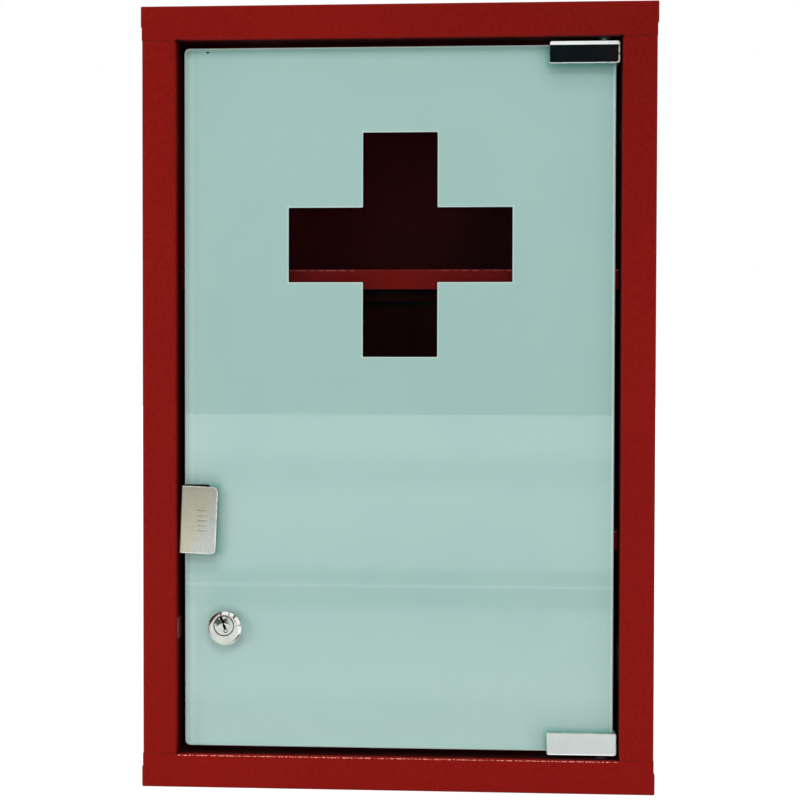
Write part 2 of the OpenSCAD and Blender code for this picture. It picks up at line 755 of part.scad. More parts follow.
module lock_plug() {
    key_w = 1.7;
    key_len = 9;
    key_depth = 6;
    dish = [5, 3, 1.2];
    dish_lean = 20;
    color([0.78, 0.78, 0.76]) at_lock() translate([0, plug_up, 0]) difference() {
        union() {
            translate([0, 0, lock_face_s - plug_head_t]) cylinder(h = plug_head_t, d = plug_face_d);
            translate([0, 0, cam_s]) cylinder(h = lock_face_s - plug_head_t - cam_s, d = plug_d);
            translate([0, 0, cam_s - cam_t / 2]) cube([tang_w, tang_w, cam_t], center = true);
        }
        rotate([0, 0, key_lean]) {
            translate([0, 0, lock_face_s - key_depth / 2 + cut / 2])
                cube([key_w, key_len, key_depth + cut], center = true);
            // Dished entry: two wedges that meet at the keyway
            for (side = [-1, 1])
                translate([side * dish.x / 2, key_len / 4, lock_face_s]) rotate([0, -side * dish_lean, 0])
                    cube(dish, center = true);
        }
        translate([0, 0, cam_s - cam_t - cut]) cylinder(h = 6 + cut, d = cam_screw_d + 2 * press_gap);
    }
}

// Cam that hangs from the plug at rest; its tongue is cranked forwards
module lock_cam() {
    bend_run = cam_crank;
    flat_end = cam_bend + bend_run;
    color([0.68, 0.68, 0.70]) at_lock() translate([0, plug_up, cam_s]) difference() {
        union() {
            translate([0, 0, -cam_t]) cylinder(h = cam_t, r = cam_hub_r);
            intersection() {
                rotate([0, -90, 0]) linear_extrude(cam_w + cut, center = true)
                    polygon([[0, 0], [0, -cam_bend], [cam_crank, -flat_end], [cam_crank, -cam_reach],
                             [cam_crank - cam_t, -cam_reach], [cam_crank - cam_t, -flat_end - 0.8],
                             [-cam_t, -cam_bend - 0.8], [-cam_t, 0]]);
                translate([0, -cam_reach / 2, 0]) along_z(4 * (cam_t + cam_crank))
                    rounded_rect([cam_w, cam_reach], [cam_w / 3, cam_w / 3, 0, 0]);
            }
        }
        translate([0, 0, -cam_t / 2])
            cube([tang_w + 2 * press_gap, tang_w + 2 * press_gap, 2 * cam_t], center = true);
    }
}

module cam_washer() {
    color([0.70, 0.70, 0.72]) at_lock() translate([0, plug_up, cam_s - cam_t - cam_washer_t])
        ring(tang_w * 1.6, cam_screw_d + 2 * press_gap, cam_washer_t);
}

module cam_screw() {
    head_t = 2;
    head_r = cam_screw_d;
    shank = 5.5;
    color([0.66, 0.66, 0.68]) at_lock() translate([0, plug_up, cam_s - cam_t - cam_washer_t]) difference() {
        rotate_extrude() polygon([
            [0, -head_t], [head_r * 0.5, -head_t], [head_r * 0.85, 0.4 - head_t], [head_r, 1 - head_t],
            [head_r, 0], [cam_screw_d / 2, 0], [cam_screw_d / 2, shank], [0, shank]]);
        for (a = [0, 90]) rotate([0, 0, a]) translate([0, 0, -head_t]) cube([head_r * 1.2, 0.7, 1.8], center = true);
    }
}

top_panel();
bottom_panel();
left_side_panel();
right_side_panel();
back_panel();
upper_shelf();
lower_shelf();
shelf_rivets();
top_pivot_bush();
bottom_pivot_bush();
lock_keeper();
latch_housing();
latch_spring();
latch_screws();
door_glass();
door_print_film();
top_hinge_clamp();
bottom_hinge_clamp();
pivot_pins();
clamp_liners();
clamp_set_screws();
strike_plate();
strike_pads();
lock_housing();
lock_gasket();
lock_washer();
lock_nut();
lock_plug();
lock_cam();
cam_washer();
cam_screw();
latch_plunger();
latch_magnet();
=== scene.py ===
"""Lockable red steel wall cabinet with a printed glass door: finishes, fine fittings and a plain studio."""
import math

import bmesh
import bpy
from mathutils import Matrix, Vector


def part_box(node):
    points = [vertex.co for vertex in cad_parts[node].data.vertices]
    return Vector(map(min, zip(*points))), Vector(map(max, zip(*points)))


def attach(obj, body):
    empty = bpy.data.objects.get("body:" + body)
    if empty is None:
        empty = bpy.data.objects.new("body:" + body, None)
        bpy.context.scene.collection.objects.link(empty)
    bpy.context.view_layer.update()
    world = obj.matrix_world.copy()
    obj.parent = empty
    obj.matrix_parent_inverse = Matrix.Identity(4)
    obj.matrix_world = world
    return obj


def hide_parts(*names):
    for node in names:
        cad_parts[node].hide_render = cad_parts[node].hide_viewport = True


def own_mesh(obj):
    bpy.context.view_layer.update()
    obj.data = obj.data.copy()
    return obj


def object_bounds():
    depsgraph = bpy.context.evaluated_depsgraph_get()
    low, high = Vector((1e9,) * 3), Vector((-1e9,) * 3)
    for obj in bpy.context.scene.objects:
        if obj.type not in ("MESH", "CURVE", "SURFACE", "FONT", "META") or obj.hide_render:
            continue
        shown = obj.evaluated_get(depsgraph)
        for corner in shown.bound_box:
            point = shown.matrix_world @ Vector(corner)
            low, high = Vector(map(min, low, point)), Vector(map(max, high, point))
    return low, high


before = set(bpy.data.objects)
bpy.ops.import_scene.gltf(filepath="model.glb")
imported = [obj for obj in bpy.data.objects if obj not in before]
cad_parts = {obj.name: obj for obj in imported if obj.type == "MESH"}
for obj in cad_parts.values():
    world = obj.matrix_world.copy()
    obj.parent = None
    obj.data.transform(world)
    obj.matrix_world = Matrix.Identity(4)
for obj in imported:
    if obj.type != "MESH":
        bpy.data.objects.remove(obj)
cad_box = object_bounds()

MM = 0.001
scene = bpy.context.scene

# ---------------------------------------------------------------- sizes
# In millimetres and degrees. The origin is in the middle of the cabinet's back, and flat vectors are (x, z).

GLASS_LOW, GLASS_HIGH = (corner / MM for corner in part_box("door_glass"))
FRONT, BACK = -GLASS_LOW.y, -GLASS_HIGH.y
ARRIS, BACK_ARRIS = 0.6, 0.25
CORNER_R = 3.0
PRINT_SINK = 0.02    # how far the print's front lies inside the glass it is fused to
CROSS_MIDDLE = Vector((1.5, 91.0))
CROSS_SPAN, CROSS_ARM = 132.0, 44.0
INK_FLECK = Vector((-112.6, 204.6))

PIVOT_X, PIVOT_Y = 120.0, -132.5
PIN_HOLE_ZS = (212.0, 204.0)
CLAMP_CORNERS = (0.6, 1.0, 1.4, 1.2)    # radii, anticlockwise from the lower left
CLAMP_HOLE_R = 2.02
STRIP_LEAN = 7.5     # of the strip along the top of a clamp's front, which catches the light

STRIKE_W, STRIKE_H, STRIKE_T, STRIKE_TILT = 22.0, 40.0, 1.0, 2.4
STRIKE_CORNER_R, STRIKE_FOLD_R, STRIKE_EASE = 3.0, 0.7, 0.2
STRIKE_BACK, STRIKE_FRONT = 129.0, 135.8    # middles of its two leaves, out from the wall
STRIKE_EDGE = Vector((GLASS_LOW.x - 2.6, 0, -71.3))
GRIP_LINES, GRIP_PITCH, GRIP_LEN, GRIP_DEPTH = 5, 3.0, 5.0, 0.15

LOCK_AXIS = Vector((-102.0, -136.0))
BARREL_HOLE_R, BARREL_RING_R = 8.6, 8.22
PLUG_UP = 2.0            # height of the plug's axis over the lock's
LOCK_FACE_S = 3.7        # height of the lock's face over the glass
BARREL_END = -12.7
CAM_S = BARREL_END - 0.15
CAM_BACK = CAM_S - 2.6
KEY_TOP, KEY_FOOT = Vector((-1.94, 5.2)), Vector((0.86, -1.9))

SIDE_WALL_X = 150.0
RIVET_YS, RIVET_ZS = (-104.0, -19.7), (71.5, -83.5)
LATCH_SCREW_XS, LATCH_SCREW_Y, LATCH_SCREW_Z = (-130.0, -106.0), -100.0, -75.3
SPRING_END = Vector((-118.0, -83.45, -70.5))

# ---------------------------------------------------------------- camera

PICTURE_PX = 800
FOCAL_PX = 1200.0
SENSOR_W = 36.0
EYE = Vector((34.42, -838.96, 13.03)) * MM
YAW, PITCH, ROLL = math.radians(2.656), math.radians(1.085), math.radians(0.127)


def in_scene(name, data):
    made = bpy.data.objects.new(name, data)
    scene.collection.objects.link(made)
    return made


def make_camera():
    """Level camera a little right of the middle, turned back towards the cabinet."""
    ahead = Vector((-math.sin(YAW) * math.cos(PITCH), math.cos(YAW) * math.cos(PITCH), -math.sin(PITCH)))
    level = ahead.cross(Vector((0, 0, 1))).normalized()
    raised = level.cross(ahead)
    right = level * math.cos(ROLL) + raised * math.sin(ROLL)
    up = right.cross(ahead)
    data = bpy.data.cameras.new("front_camera")
    data.sensor_width = SENSOR_W
    data.lens = SENSOR_W * FOCAL_PX / PICTURE_PX
    camera = in_scene("front_camera", data)
    camera.matrix_world = Matrix.Translation(EYE) @ Matrix((right, up, -ahead)).transposed().to_4x4()
    scene.camera = camera


make_camera()

# ---------------------------------------------------------------- node trees


class Tree:
    """A node tree with short ways to add nodes and join them."""

    def __init__(self, tree):
        self.tree = tree
        self.count = 0

    def add(self, kind, inputs=None, **settings):
        """Adds a node, sets its properties, and sets or links its inputs."""
        node = self.tree.nodes.new(kind)
        row, column = divmod(self.count, 8)
        node.location = (220 * column, -260 * row)
        self.count += 1
        for key, value in settings.items():
            setattr(node, key, value)
        for key, value in (inputs or {}).items():
            if isinstance(value, bpy.types.NodeSocket):
                self.tree.links.new(value, node.inputs[key])
            else:
                node.inputs[key].default_value = value
        return node

    def math(self, operation, result, *others):
        """Applies an operation to one value, or to several from left to right."""
        for other in others or (0.0,):
            result = self.add("ShaderNodeMath", {0: result, 1: other}, operation=operation).outputs[0]
        return result

    def plus(self, *values):
        return self.math("ADD", *values)

    def less(self, *values):
        return self.math("SUBTRACT", *values)

    def times(self, *values):
        return self.math("MULTIPLY", *values)

    def most(self, *values):
        return self.math("MAXIMUM", *values)

    def least(self, *values):
        return self.math("MINIMUM", *values)

    def size(self, value):
        return self.math("ABSOLUTE", value)

    def vector(self, operation, a, b=(0.0, 0.0, 0.0)):
        node = self.add("ShaderNodeVectorMath", {0: a, 1: b}, operation=operation)
        return node.outputs["Value" if operation in ("LENGTH", "DOT_PRODUCT") else "Vector"]

    def moved(self, by=(0.0, 0.0, 0.0)):
        """Object coordinates, moved."""
        return self.vector("ADD", self.add("ShaderNodeTexCoord").outputs["Object"], by)

    def axes(self, vector):
        return self.add("ShaderNodeSeparateXYZ", {0: vector}).outputs

    def at(self):
        """Object coordinates, by axis."""
        return self.axes(self.add("ShaderNodeTexCoord").outputs["Object"])

    def facing(self):
        """The surface's normal, by axis."""
        return self.axes(self.add("ShaderNodeNewGeometry").outputs["Normal"])

    def noise(self, place, scale, detail, **others):
        inputs = {"Vector": place, "Scale": scale, "Detail": detail, **others}
        return self.add("ShaderNodeTexNoise", inputs).outputs[0]

    def blend(self, factor, a, b, way="MIX"):
        """Mixes two colours."""
        node = self.add("ShaderNodeMix", {0: factor, 6: a, 7: b}, data_type="RGBA", blend_type=way)
        return node.outputs[2]

    def tint(self, factor, colour, by):
        """Multiplies a colour by another."""
        return self.blend(factor, colour, by, "MULTIPLY")

    def ramp(self, value, low, high, out_low=0.0, out_high=1.0):
        """Maps a value from one range to another, held at its ends."""
        return self.add("ShaderNodeMapRange", {0: value, 1: low, 2: high, 3: out_low, 4: out_high}).outputs[0]

    def span(self, value, middle, half, edge):
        """1 near a middle value, falling to 0 between half and edge from it."""
        return self.ramp(self.size(self.less(value, middle)), edge, half)

    def past_outline(self, across, up, half_width, half_height, corner):
        """Distance from the outline of a rounded rectangle round the middle, below 0 inside it."""
        sides = ((across, half_width), (up, half_height))
        past = [self.less(self.size(a), self.less(b, corner)) for a, b in sides]
        outer = self.add("ShaderNodeCombineXYZ", {i: self.most(value, 0.0) for i, value in enumerate(past)})
        inner = self.least(self.most(*past), 0.0)
        return self.less(self.plus(self.vector("LENGTH", outer.outputs[0]), inner), corner)


class Group(Tree):
    """A node group under way. Each input is given its number or kind of socket, and each output its kind."""

    def __init__(self, name, kind, inputs, **outputs):
        super().__init__(bpy.data.node_groups.new(name, kind))
        rows = [("INPUT", *row) for row in inputs.items()] + [("OUTPUT", *row) for row in outputs.items()]
        for way, label, given in rows:
            sort = {float: "Float", int: "Int"}.get(type(given), given)
            socket = self.tree.interface.new_socket(name=label, in_out=way, socket_type="NodeSocket" + sort)
            if sort != given:
                socket.default_value = given
        self.given = self.add("NodeGroupInput").outputs
        self.out = self.add("NodeGroupOutput").inputs

    def scale_of(self, label):
        """Noise scale for the size a group is given in millimetres."""
        return self.math("DIVIDE", 1 / MM, self.given[label])

    def give(self, **results):
        """Links each result to the output of its name and hands over the group."""
        for label, value in results.items():
            self.tree.links.new(value, self.out[label])
        return self.tree


def rgb(red, green, blue):
    """Colour from 8-bit display values."""
    def linear(v):
        v /= 255
        return v / 12.92 if v <= 0.04045 else ((v + 0.055) / 1.055) ** 2.4
    return (linear(red), linear(green), linear(blue), 1.0)


def shaded(colour, share):
    """The same colour, darker or lighter."""
    return tuple(min(1.0, share * c) for c in colour[:3]) + (1.0,)


# ---------------------------------------------------------------- shared shader effects


def orange_peel_group():
    """The soft dimples and the fine grain of sprayed and baked powder, with the mottling they bring."""
    sizes = {"Peel Size": 1.7, "Grain Size": 0.45, "Grain Share": 0.25, "Seed": 0.0}
    t = Group("orange_peel", "ShaderNodeTree", sizes, Height="Float", Mottle="Float")
    place = t.moved(t.given["Seed"])
    peel = t.noise(place, t.scale_of("Peel Size"), 1.5, Roughness=0.45, Distortion=0.3)
    grain = t.noise(place, t.scale_of("Grain Size"), 1.0)
    cloud = t.noise(place, 9.0, 2.0)
    soft = t.ramp(peel, 0.3, 0.72)
    return t.give(Height=t.plus(soft, t.times(grain, t.given["Grain Share"])),
                  Mottle=t.plus(t.times(soft, 0.7), t.times(cloud, 0.6)))


def edge_wear_group():
    """Where edges are rubbed: a broken mask along them, and normals that round them off."""
    sizes = {"Round": 0.3, "Reach": 0.5, "Break Size": 2.0}
    t = Group("edge_wear", "ShaderNodeTree", sizes, Mask="Float", Normal="Vector")
    rounded, reached = (
        t.add("ShaderNodeBevel", {"Radius": t.times(t.given[label], MM)}, samples=6).outputs[0]
        for label in ("Round", "Reach"))
    bend = t.vector("DOT_PRODUCT", reached, t.add("ShaderNodeNewGeometry").outputs["Normal"])
    broken = t.noise(t.moved(), t.scale_of("Break Size"), 3.0)
    return t.give(Mask=t.times(t.ramp(bend, 0.995, 0.90), t.ramp(broken, 0.42, 0.62)), Normal=rounded)


def fine_scratches_group():
    """Hair scratches that cross at random, and the lines of a brushed finish along one axis."""
    sizes = {"Scratch Size": 3.0, "Brush Share": 0.0, "Seed": 0.0}
    t = Group("fine_scratches", "ShaderNodeTree", sizes, Height="Float", Mask="Float")
    place = t.moved(t.given["Seed"])
    scale = t.scale_of("Scratch Size")
    hairs = []
    for turn, stretch in ((0.5, 14.0), (1.9, 11.0), (2.7, 17.0)):
        way = {"Vector": place, "Rotation": (0.3, turn, 0.2), "Scale": (1.0, 1.0, stretch)}
        lines = t.noise(t.add("ShaderNodeMapping", way).outputs[0], scale, 2.0, Roughness=0.7)
        hairs.append(t.ramp(lines, 0.64, 0.72))
    mask = t.most(*hairs)
    drawn = t.add("ShaderNodeMapping", {"Vector": place, "Scale": (0.03, 1.0, 1.0)}).outputs[0]
    brush = t.noise(drawn, t.times(scale, 14.0), 2.0)
    return t.give(Height=t.less(t.times(brush, t.given["Brush Share"]), t.times(mask, 0.5)), Mask=mask)


def handling_group():
    """Smudges of use and settled dust, as soft patches."""
    t = Group("handling", "ShaderNodeTree", {"Patch Size": 40.0, "Seed": 0.0}, Smudge="Float", Dust="Float")
    place = t.moved(t.given["Seed"])
    scale = t.scale_of("Patch Size")
    patch = t.noise(place, scale, 4.0, Roughness=0.6, Distortion=0.8)
    speck = t.noise(place, t.times(scale, 40.0), 1.0)
    dust = t.times(t.ramp(t.facing()["Z"], 0.3, 1.0), t.ramp(speck, 0.45, 0.7))
    return t.give(Smudge=t.ramp(patch, 0.45, 0.7), Dust=dust)


def painted_crevice_shade_group():
    """Painted shade: darkens folds, narrow gaps and inner corners, where ambient occlusion finds light shut
    out.
    """
    t = Group("settled_grime", "ShaderNodeTree", {"Reach": 8.0, "Start": 0.94, "Full": 0.62}, Mask="Float")
    reach = t.times(t.given["Reach"], MM)
    open_share = t.add("ShaderNodeAmbientOcclusion", {"Distance": reach}, samples=12).outputs["AO"]
    return t.give(Mask=t.ramp(open_share, t.given["Start"], t.given["Full"]))


ORANGE_PEEL = orange_peel_group()
EDGE_WEAR = edge_wear_group()
FINE_SCRATCHES = fine_scratches_group()
HANDLING = handling_group()
PAINTED_CREVICE_SHADE = painted_crevice_shade_group()

# ---------------------------------------------------------------- finishes

SCRATCH_DEPTH = 0.004


class Finish(Tree):
    """A material under way: its tree, its Principled shader and the groups placed in it."""

    def __init__(self, name, **plain):
        self.material = bpy.data.materials.new(name)
        self.material.use_nodes = True
        super().__init__(self.material.node_tree)
        self.shader = next(n for n in self.tree.nodes if n.type == "BSDF_PRINCIPLED")
        self.output = next(n for n in self.tree.nodes if n.type == "OUTPUT_MATERIAL")
        for key, value in plain.items():
            self.shader.inputs[key.replace("_", " ")].default_value = value

    def group(self, group, **inputs):
        inputs = {key.replace("_", " "): value for key, value in inputs.items()}
        return self.add("ShaderNodeGroup", inputs, node_tree=group).outputs

    def feed(self, **sockets):
        for key, value in sockets.items():
            self.tree.links.new(value, self.shader.inputs[key.replace("_", " ")])
        return self.material

    def done(self, height, depth, wear=None, **sockets):
        """Feeds the shader, with a relief of a depth in millimetres over rounded edges, and hands it over."""
        relief = {"Height": height, "Distance": depth * MM}
        if wear:
            relief["Normal"] = wear["Normal"]
        return self.feed(Normal=self.add("ShaderNodeBump", relief).outputs[0], **sockets)


def indoors(t):
    """Where the painted gap shade falls: 1 behind the front and on faces turned down, 0 on the outer walls.
    It rises slower on right faces.
    """
    low, high = cad_box
    at, facing = t.at(), t.facing()
    slower = t.times(t.most(facing["X"], 0.0), 9 * MM)
    depth = t.ramp(at["Y"], low[1] + 0.1 * MM, t.plus(low[1] + 1.8 * MM, slower))
    depth = t.most(depth, t.ramp(facing["Z"], -0.25, -0.6))
    wide = t.ramp(t.size(at["X"]), high[0] - 2.0 * MM, high[0] - 3.5 * MM)
    tall = t.ramp(t.size(at["Z"]), high[2] - 1.5 * MM, high[2] - 3.0 * MM)
    return t.times(depth, wide, tall)


def shut_in(t):
    """1 on inner faces that glass and walls keep light off, a little less behind the clear cross."""
    _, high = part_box("door_print_film")
    at = t.at()
    wide = t.size(at["X"])
    return t.times(
        t.ramp(at["Y"], high.y + 3 * MM, high.y + 9 * MM),
        t.ramp(wide, 18 * MM, 60 * MM, 0.86, 1.0),
        t.ramp(t.facing()["Y"], 0.7, 0.3),
        t.ramp(wide, high.x + 16 * MM, high.x + 12 * MM),
        t.ramp(t.size(at["Z"]), high.z + 16 * MM, high.z + 12 * MM))


def fold_highlight_and_wear(t, edges):
    """Painted highlight: a broken bright line along the folds that face up and out, where they catch the
    light; and faint wear on the other edges.
    """
    at, facing = t.at(), t.facing()
    broken = t.ramp(t.noise(t.moved(), 0.75 / MM, 3.0), 0.46, 0.54)
    on_shelf = t.ramp(at["Y"], -132 * MM, -128 * MM)
    hinge_end = t.times(t.ramp(at["X"], 122 * MM, 126 * MM), on_shelf)
    fainter = t.times(on_shelf, t.ramp(t.size(at["X"]), 20 * MM, 27 * MM, 0.9, 0.45))
    fold = t.times(
        t.ramp(facing["Z"], 0.28, 0.40),
        t.ramp(facing["Z"], 0.68, 0.54),
        t.ramp(facing["Y"], 0.0, -0.3),
        t.most(broken, hinge_end),
        t.ramp(at["Z"], 160 * MM, 100 * MM),
        t.most(t.less(1.0, fainter), hinge_end))
    return t.most(fold, t.times(edges, 0.07))


def red_powder_coat():
    """Satin red powder: orange peel, a painted highlight along the folds, dust on top, painted shade in the
    gaps and inside, and painted gradients of light across it.
    """
    f = Finish("red_powder_coat", Specular_IOR_Level=0.09)
    peel = f.group(ORANGE_PEEL, Peel_Size=1.35, Grain_Size=0.5, Grain_Share=0.45)
    wear = f.group(EDGE_WEAR, Round=0.35, Reach=0.5, Break_Size=1.3)
    use = f.group(HANDLING, Patch_Size=60.0)
    grime = f.group(PAINTED_CREVICE_SHADE, Start=0.98, Full=0.80)["Mask"]
    at = f.at()

    # Neither painted gap shade nor painted inner shade on the front of the shelves' lips at their hinge end
    lip_end = f.times(
        f.span(at["Y"], -122 * MM, 2 * MM, 4 * MM),
        f.ramp(f.facing()["Y"], -0.5, -0.9),
        f.ramp(at["X"], 118 * MM, 126 * MM))
    elsewhere = f.less(1.0, lip_end)
    colour = f.blend(f.ramp(peel["Mottle"], 0.35, 1.0), rgb(131, 14, 8), rgb(142, 20, 12))
    # Painted highlight along the upward folds, with faint edge wear
    colour = f.blend(fold_highlight_and_wear(f, wear["Mask"]), colour, rgb(250, 170, 160))
    colour = f.blend(f.times(use["Dust"], 0.03), colour, rgb(196, 180, 172))
    # Painted shade: near-black in folds, gaps and inner corners behind the front and on faces turned down
    colour = f.blend(f.times(grime, indoors(f), elsewhere, 0.97), colour, rgb(36, 16, 17))

    # Painted shade inside: dim near the front, bluer on the back, and there darkest above the shelf towards
    # the hinges
    back = f.blend(f.ramp(at["X"], 25 * MM, 55 * MM), (0.74, 0.66, 1.8, 1.0), (0.42, 0.42, 1.3, 1.0))
    back = f.blend(f.ramp(at["Z"], 75 * MM, 65 * MM), back, (1.1, 0.8, 1.8, 1.0))
    inner = f.blend(f.ramp(at["Y"], -110 * MM, -50 * MM), (0.50, 0.50, 0.62, 1.0), back)
    colour = f.tint(f.times(shut_in(f), elsewhere), colour, inner)

    # Painted shade: deeper towards the upper right; painted light: warmer and brighter towards the foot
    aloft = f.times(f.ramp(at["Z"], 0.0, 220 * MM), f.ramp(at["X"], -250 * MM, 120 * MM))
    colour = f.tint(aloft, colour, (0.84, 0.90, 0.86, 1.0))
    colour = f.tint(f.ramp(at["Z"], -40 * MM, -180 * MM), colour, (1.10, 1.0, 0.92, 1.0))
    rough = f.plus(f.ramp(peel["Mottle"], 0.3, 1.1, 0.38, 0.46), f.times(use["Smudge"], 0.05))
    return f.done(peel["Height"], 0.085, wear, Base_Color=colour, Roughness=rough)


def metal(name, colour, roughness, scratch_size=3.0, brush=0.0, seed=0.0, grime=0.3):
    """Plated or bare metal with hair scratches, smudges, edges rubbed bright, and painted shade in its
    hollows.
    """
    f = Finish(name, Metallic=1.0)
    lines = f.group(FINE_SCRATCHES, Scratch_Size=scratch_size, Brush_Share=brush, Seed=seed)
    wear = f.group(EDGE_WEAR, Round=0.15, Reach=0.25, Break_Size=1.0)
    smudge = f.group(HANDLING, Patch_Size=14.0, Seed=seed)["Smudge"]
    crevice_mask = f.group(PAINTED_CREVICE_SHADE, Reach=3.0, Start=0.8, Full=0.3)["Mask"]
    base = f.blend(smudge, colour, shaded(colour, 0.93))
    base = f.blend(f.times(wear["Mask"], 0.5), base, shaded(colour, 1.12))
    # Painted shade in the hollows, by the share given
    base = f.blend(f.times(crevice_mask, grime), base, rgb(40, 38, 34))
    rough = f.plus(f.ramp(smudge, 0.0, 1.0, roughness, roughness * 1.25), f.times(lines["Mask"], 0.08))
    return f.done(lines["Height"], SCRATCH_DEPTH, wear, Base_Color=base, Roughness=rough)


def chrome_plate():
    """Bright chrome, with dull pale metal round the free end and in breaks along the inner edge: wear, and
    painted highlight on these edges.
    """
    f = Finish("chrome_plate", Metallic=1.0)
    lines = f.group(FINE_SCRATCHES, Scratch_Size=3.0)
    smudge = f.group(HANDLING, Patch_Size=14.0)["Smudge"]
    wear = f.group(EDGE_WEAR, Round=0.15, Reach=0.3)
    low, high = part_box("top_hinge_clamp")
    middle, half = (low + high) / 2, (high - low) / 2
    at = f.at()
    across = f.less(at["X"], middle.x)
    up = f.less(f.size(at["Z"]), middle.z)
    past = f.past_outline(across, up, half.x, half.z, max(CLAMP_CORNERS) * MM)
    broken = f.noise(f.moved(), 0.55 / MM, 3.0)
    less_broken = f.less(broken, f.ramp(at["Z"], -10 * MM, 10 * MM, 0.0, 0.08))
    free_end = f.times(
        f.ramp(across, half.x - 2.2 * MM, half.x - 1.2 * MM),
        f.ramp(past, -1.0 * MM, -0.6 * MM),
        f.ramp(broken, 0.34, 0.46))
    inner_edge = f.times(
        f.ramp(up, 1.0 * MM - half.z, 0.6 * MM - half.z),
        f.ramp(past, -0.55 * MM, -0.35 * MM),
        f.ramp(less_broken, 0.48, 0.56))
    # Wear that also serves as painted highlight on the edges
    wear_and_highlight = f.most(free_end, inner_edge)
    base = f.blend(smudge, rgb(236, 241, 239), rgb(230, 235, 233))
    base = f.blend(wear_and_highlight, base, rgb(224, 223, 208))
    rough = f.plus(f.ramp(smudge, 0.0, 1.0, 0.07, 0.09), f.times(wear_and_highlight, 0.35))
    f.feed(Metallic=f.ramp(wear_and_highlight, 0.0, 1.0, 1.0, 0.15))
    return f.done(lines["Height"], SCRATCH_DEPTH, wear, Base_Color=base, Roughness=rough)


def satin_nickel():
    """Satin nickel on pressed steel: warm tarnish towards the fold, a cooler free end and faint specks;
    painted shade towards the top and painted highlights along the edges.
    """
    f = Finish("satin_nickel", Metallic=1.0)
    lines = f.group(FINE_SCRATCHES, Scratch_Size=2.0, Brush_Share=0.35, Seed=3.0)
    wear = f.group(EDGE_WEAR, Round=0.2, Reach=0.7, Break_Size=2.5)
    smudge = f.group(HANDLING, Patch_Size=9.0, Seed=2.0)["Smudge"]
    speck = f.group(ORANGE_PEEL, Peel_Size=0.8, Grain_Size=0.3, Grain_Share=0.5, Seed=5.0)["Mottle"]
    low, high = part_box("strike_plate")
    centred = f.moved(tuple(-(low + high) / 2))
    lean = math.radians(STRIKE_TILT)
    ways = ((math.cos(lean), 0, -math.sin(lean)), (math.sin(lean), 0, math.cos(lean)), (1, 0, -0.45))
    along, tall, away = (f.vector("DOT_PRODUCT", centred, tuple(a / MM for a in way)) for way in ways)
    drift = f.plus(away, f.ramp(smudge, 0.0, 1.0, -1.5, 1.5))
    colour = f.blend(f.ramp(drift, 0.0, 6.0), rgb(205, 202, 179), rgb(202, 208, 200))
    colour = f.blend(f.ramp(speck, 0.4, 1.1, 0.0, 0.33), colour, rgb(152, 149, 132))
    # Painted shade: darker towards the top
    colour = f.tint(f.ramp(f.at()["Z"], low.z + 6 * MM, high.z), colour, (0.72, 0.72, 0.76, 1.0))
    # Edge wear, lighter, also serving as painted highlight along the edges
    colour = f.blend(f.times(wear["Mask"], 0.8), colour, rgb(238, 228, 220))

    # Painted highlight along the rim, in breaks, with a painted pink reflection of the red cabinet on the
    # side of the fold
    corner = f.ramp(along, -1.0, 1.0, STRIKE_EASE, STRIKE_CORNER_R)
    past = f.past_outline(along, tall, STRIKE_W / 2, STRIKE_H / 2, corner)
    broken = f.noise(f.moved(), 0.3 / MM, 2.0)
    rim = f.times(f.ramp(past, -0.80, -0.45), f.ramp(broken, 0.38, 0.54, 0.15, 0.72))
    bright = f.blend(f.ramp(along, -10.4, -9.8), rgb(236, 196, 192), rgb(252, 250, 240))
    colour = f.blend(rim, colour, bright)
    rough = f.ramp(smudge, 0.0, 1.0, 0.34, 0.42)
    return f.done(lines["Height"], SCRATCH_DEPTH, wear, Base_Color=colour, Roughness=rough)


def moulded(name, colour, roughness, grain=0.02, size=0.6):
    """Moulded plastic, rubber or foam with a fine eroded grain."""
    f = Finish(name, Specular_IOR_Level=0.35)
    peel = f.group(ORANGE_PEEL, Peel_Size=size, Grain_Size=size * 0.4, Grain_Share=0.4)
    wear = f.group(EDGE_WEAR, Round=0.2, Reach=0.3, Break_Size=0.8)
    base = f.blend(peel["Mottle"], shaded(colour, 0.88), colour)
    base = f.blend(f.times(wear["Mask"], 0.3), base, shaded(colour, 1.4))
    rough = f.ramp(peel["Mottle"], 0.2, 1.0, roughness, min(1.0, roughness + 0.08))
    return f.done(peel["Height"], grain, wear, Base_Color=base, Roughness=rough)


# Shades that the fittings leave on the print: node and its corner radius, how much slimmer and lower than
# the fitting the wide shade is, reach of the close shade, and where the wide one fades, ends, and its share
FITTING_SHADES = (
    ("top_hinge_clamp", 0.0, 9.0, 0.0, 2.8, 3.0, 18.0, 0.85),
    ("bottom_hinge_clamp", 0.0, 0.0, 0.0, 3.0, 0.0, 16.0, 0.3),
    ("strike_plate", 0.0, 7.0, 2.0, 2.2, 4.0, 12.0, 0.9),
    ("lock_housing", 10.2, 0.0, 0.0, 0.0, 0.0, 4.2, 0.8))


def fitting_shades(t):
    """Two masks on the print round the fittings on the glass: close to them, and further out."""
    def distance(middle, half):
        away = t.vector("SUBTRACT", t.vector("ABSOLUTE", t.moved(tuple(-middle))), tuple(half))
        away = t.vector("MULTIPLY", t.vector("MAXIMUM", away), (1 / MM, 0.0, 1 / MM))
        return t.vector("LENGTH", away)

    near, wide = 0.0, 0.0
    up = t.at()["Z"]
    for node, corner, slimmer, lower, close, flat, far, share in FITTING_SHADES:
        low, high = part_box(node)
        middle = (low + high) / 2
        half = (high - low) / 2 - Vector((corner, 0, corner)) * MM
        if close:
            near = t.most(near, t.ramp(distance(middle, half), corner + close, corner))
        away = distance(middle - Vector((0, 0, lower)) * MM, half - Vector((slimmer, 0, 0)) * MM)
        shade = t.ramp(away, corner + far, corner + flat, 0.0, share)
        if corner:
            shade = t.times(shade, t.ramp(up, middle.z + 2 * MM, middle.z + 8 * MM))
        wide = t.most(wide, shade)
    return near, wide


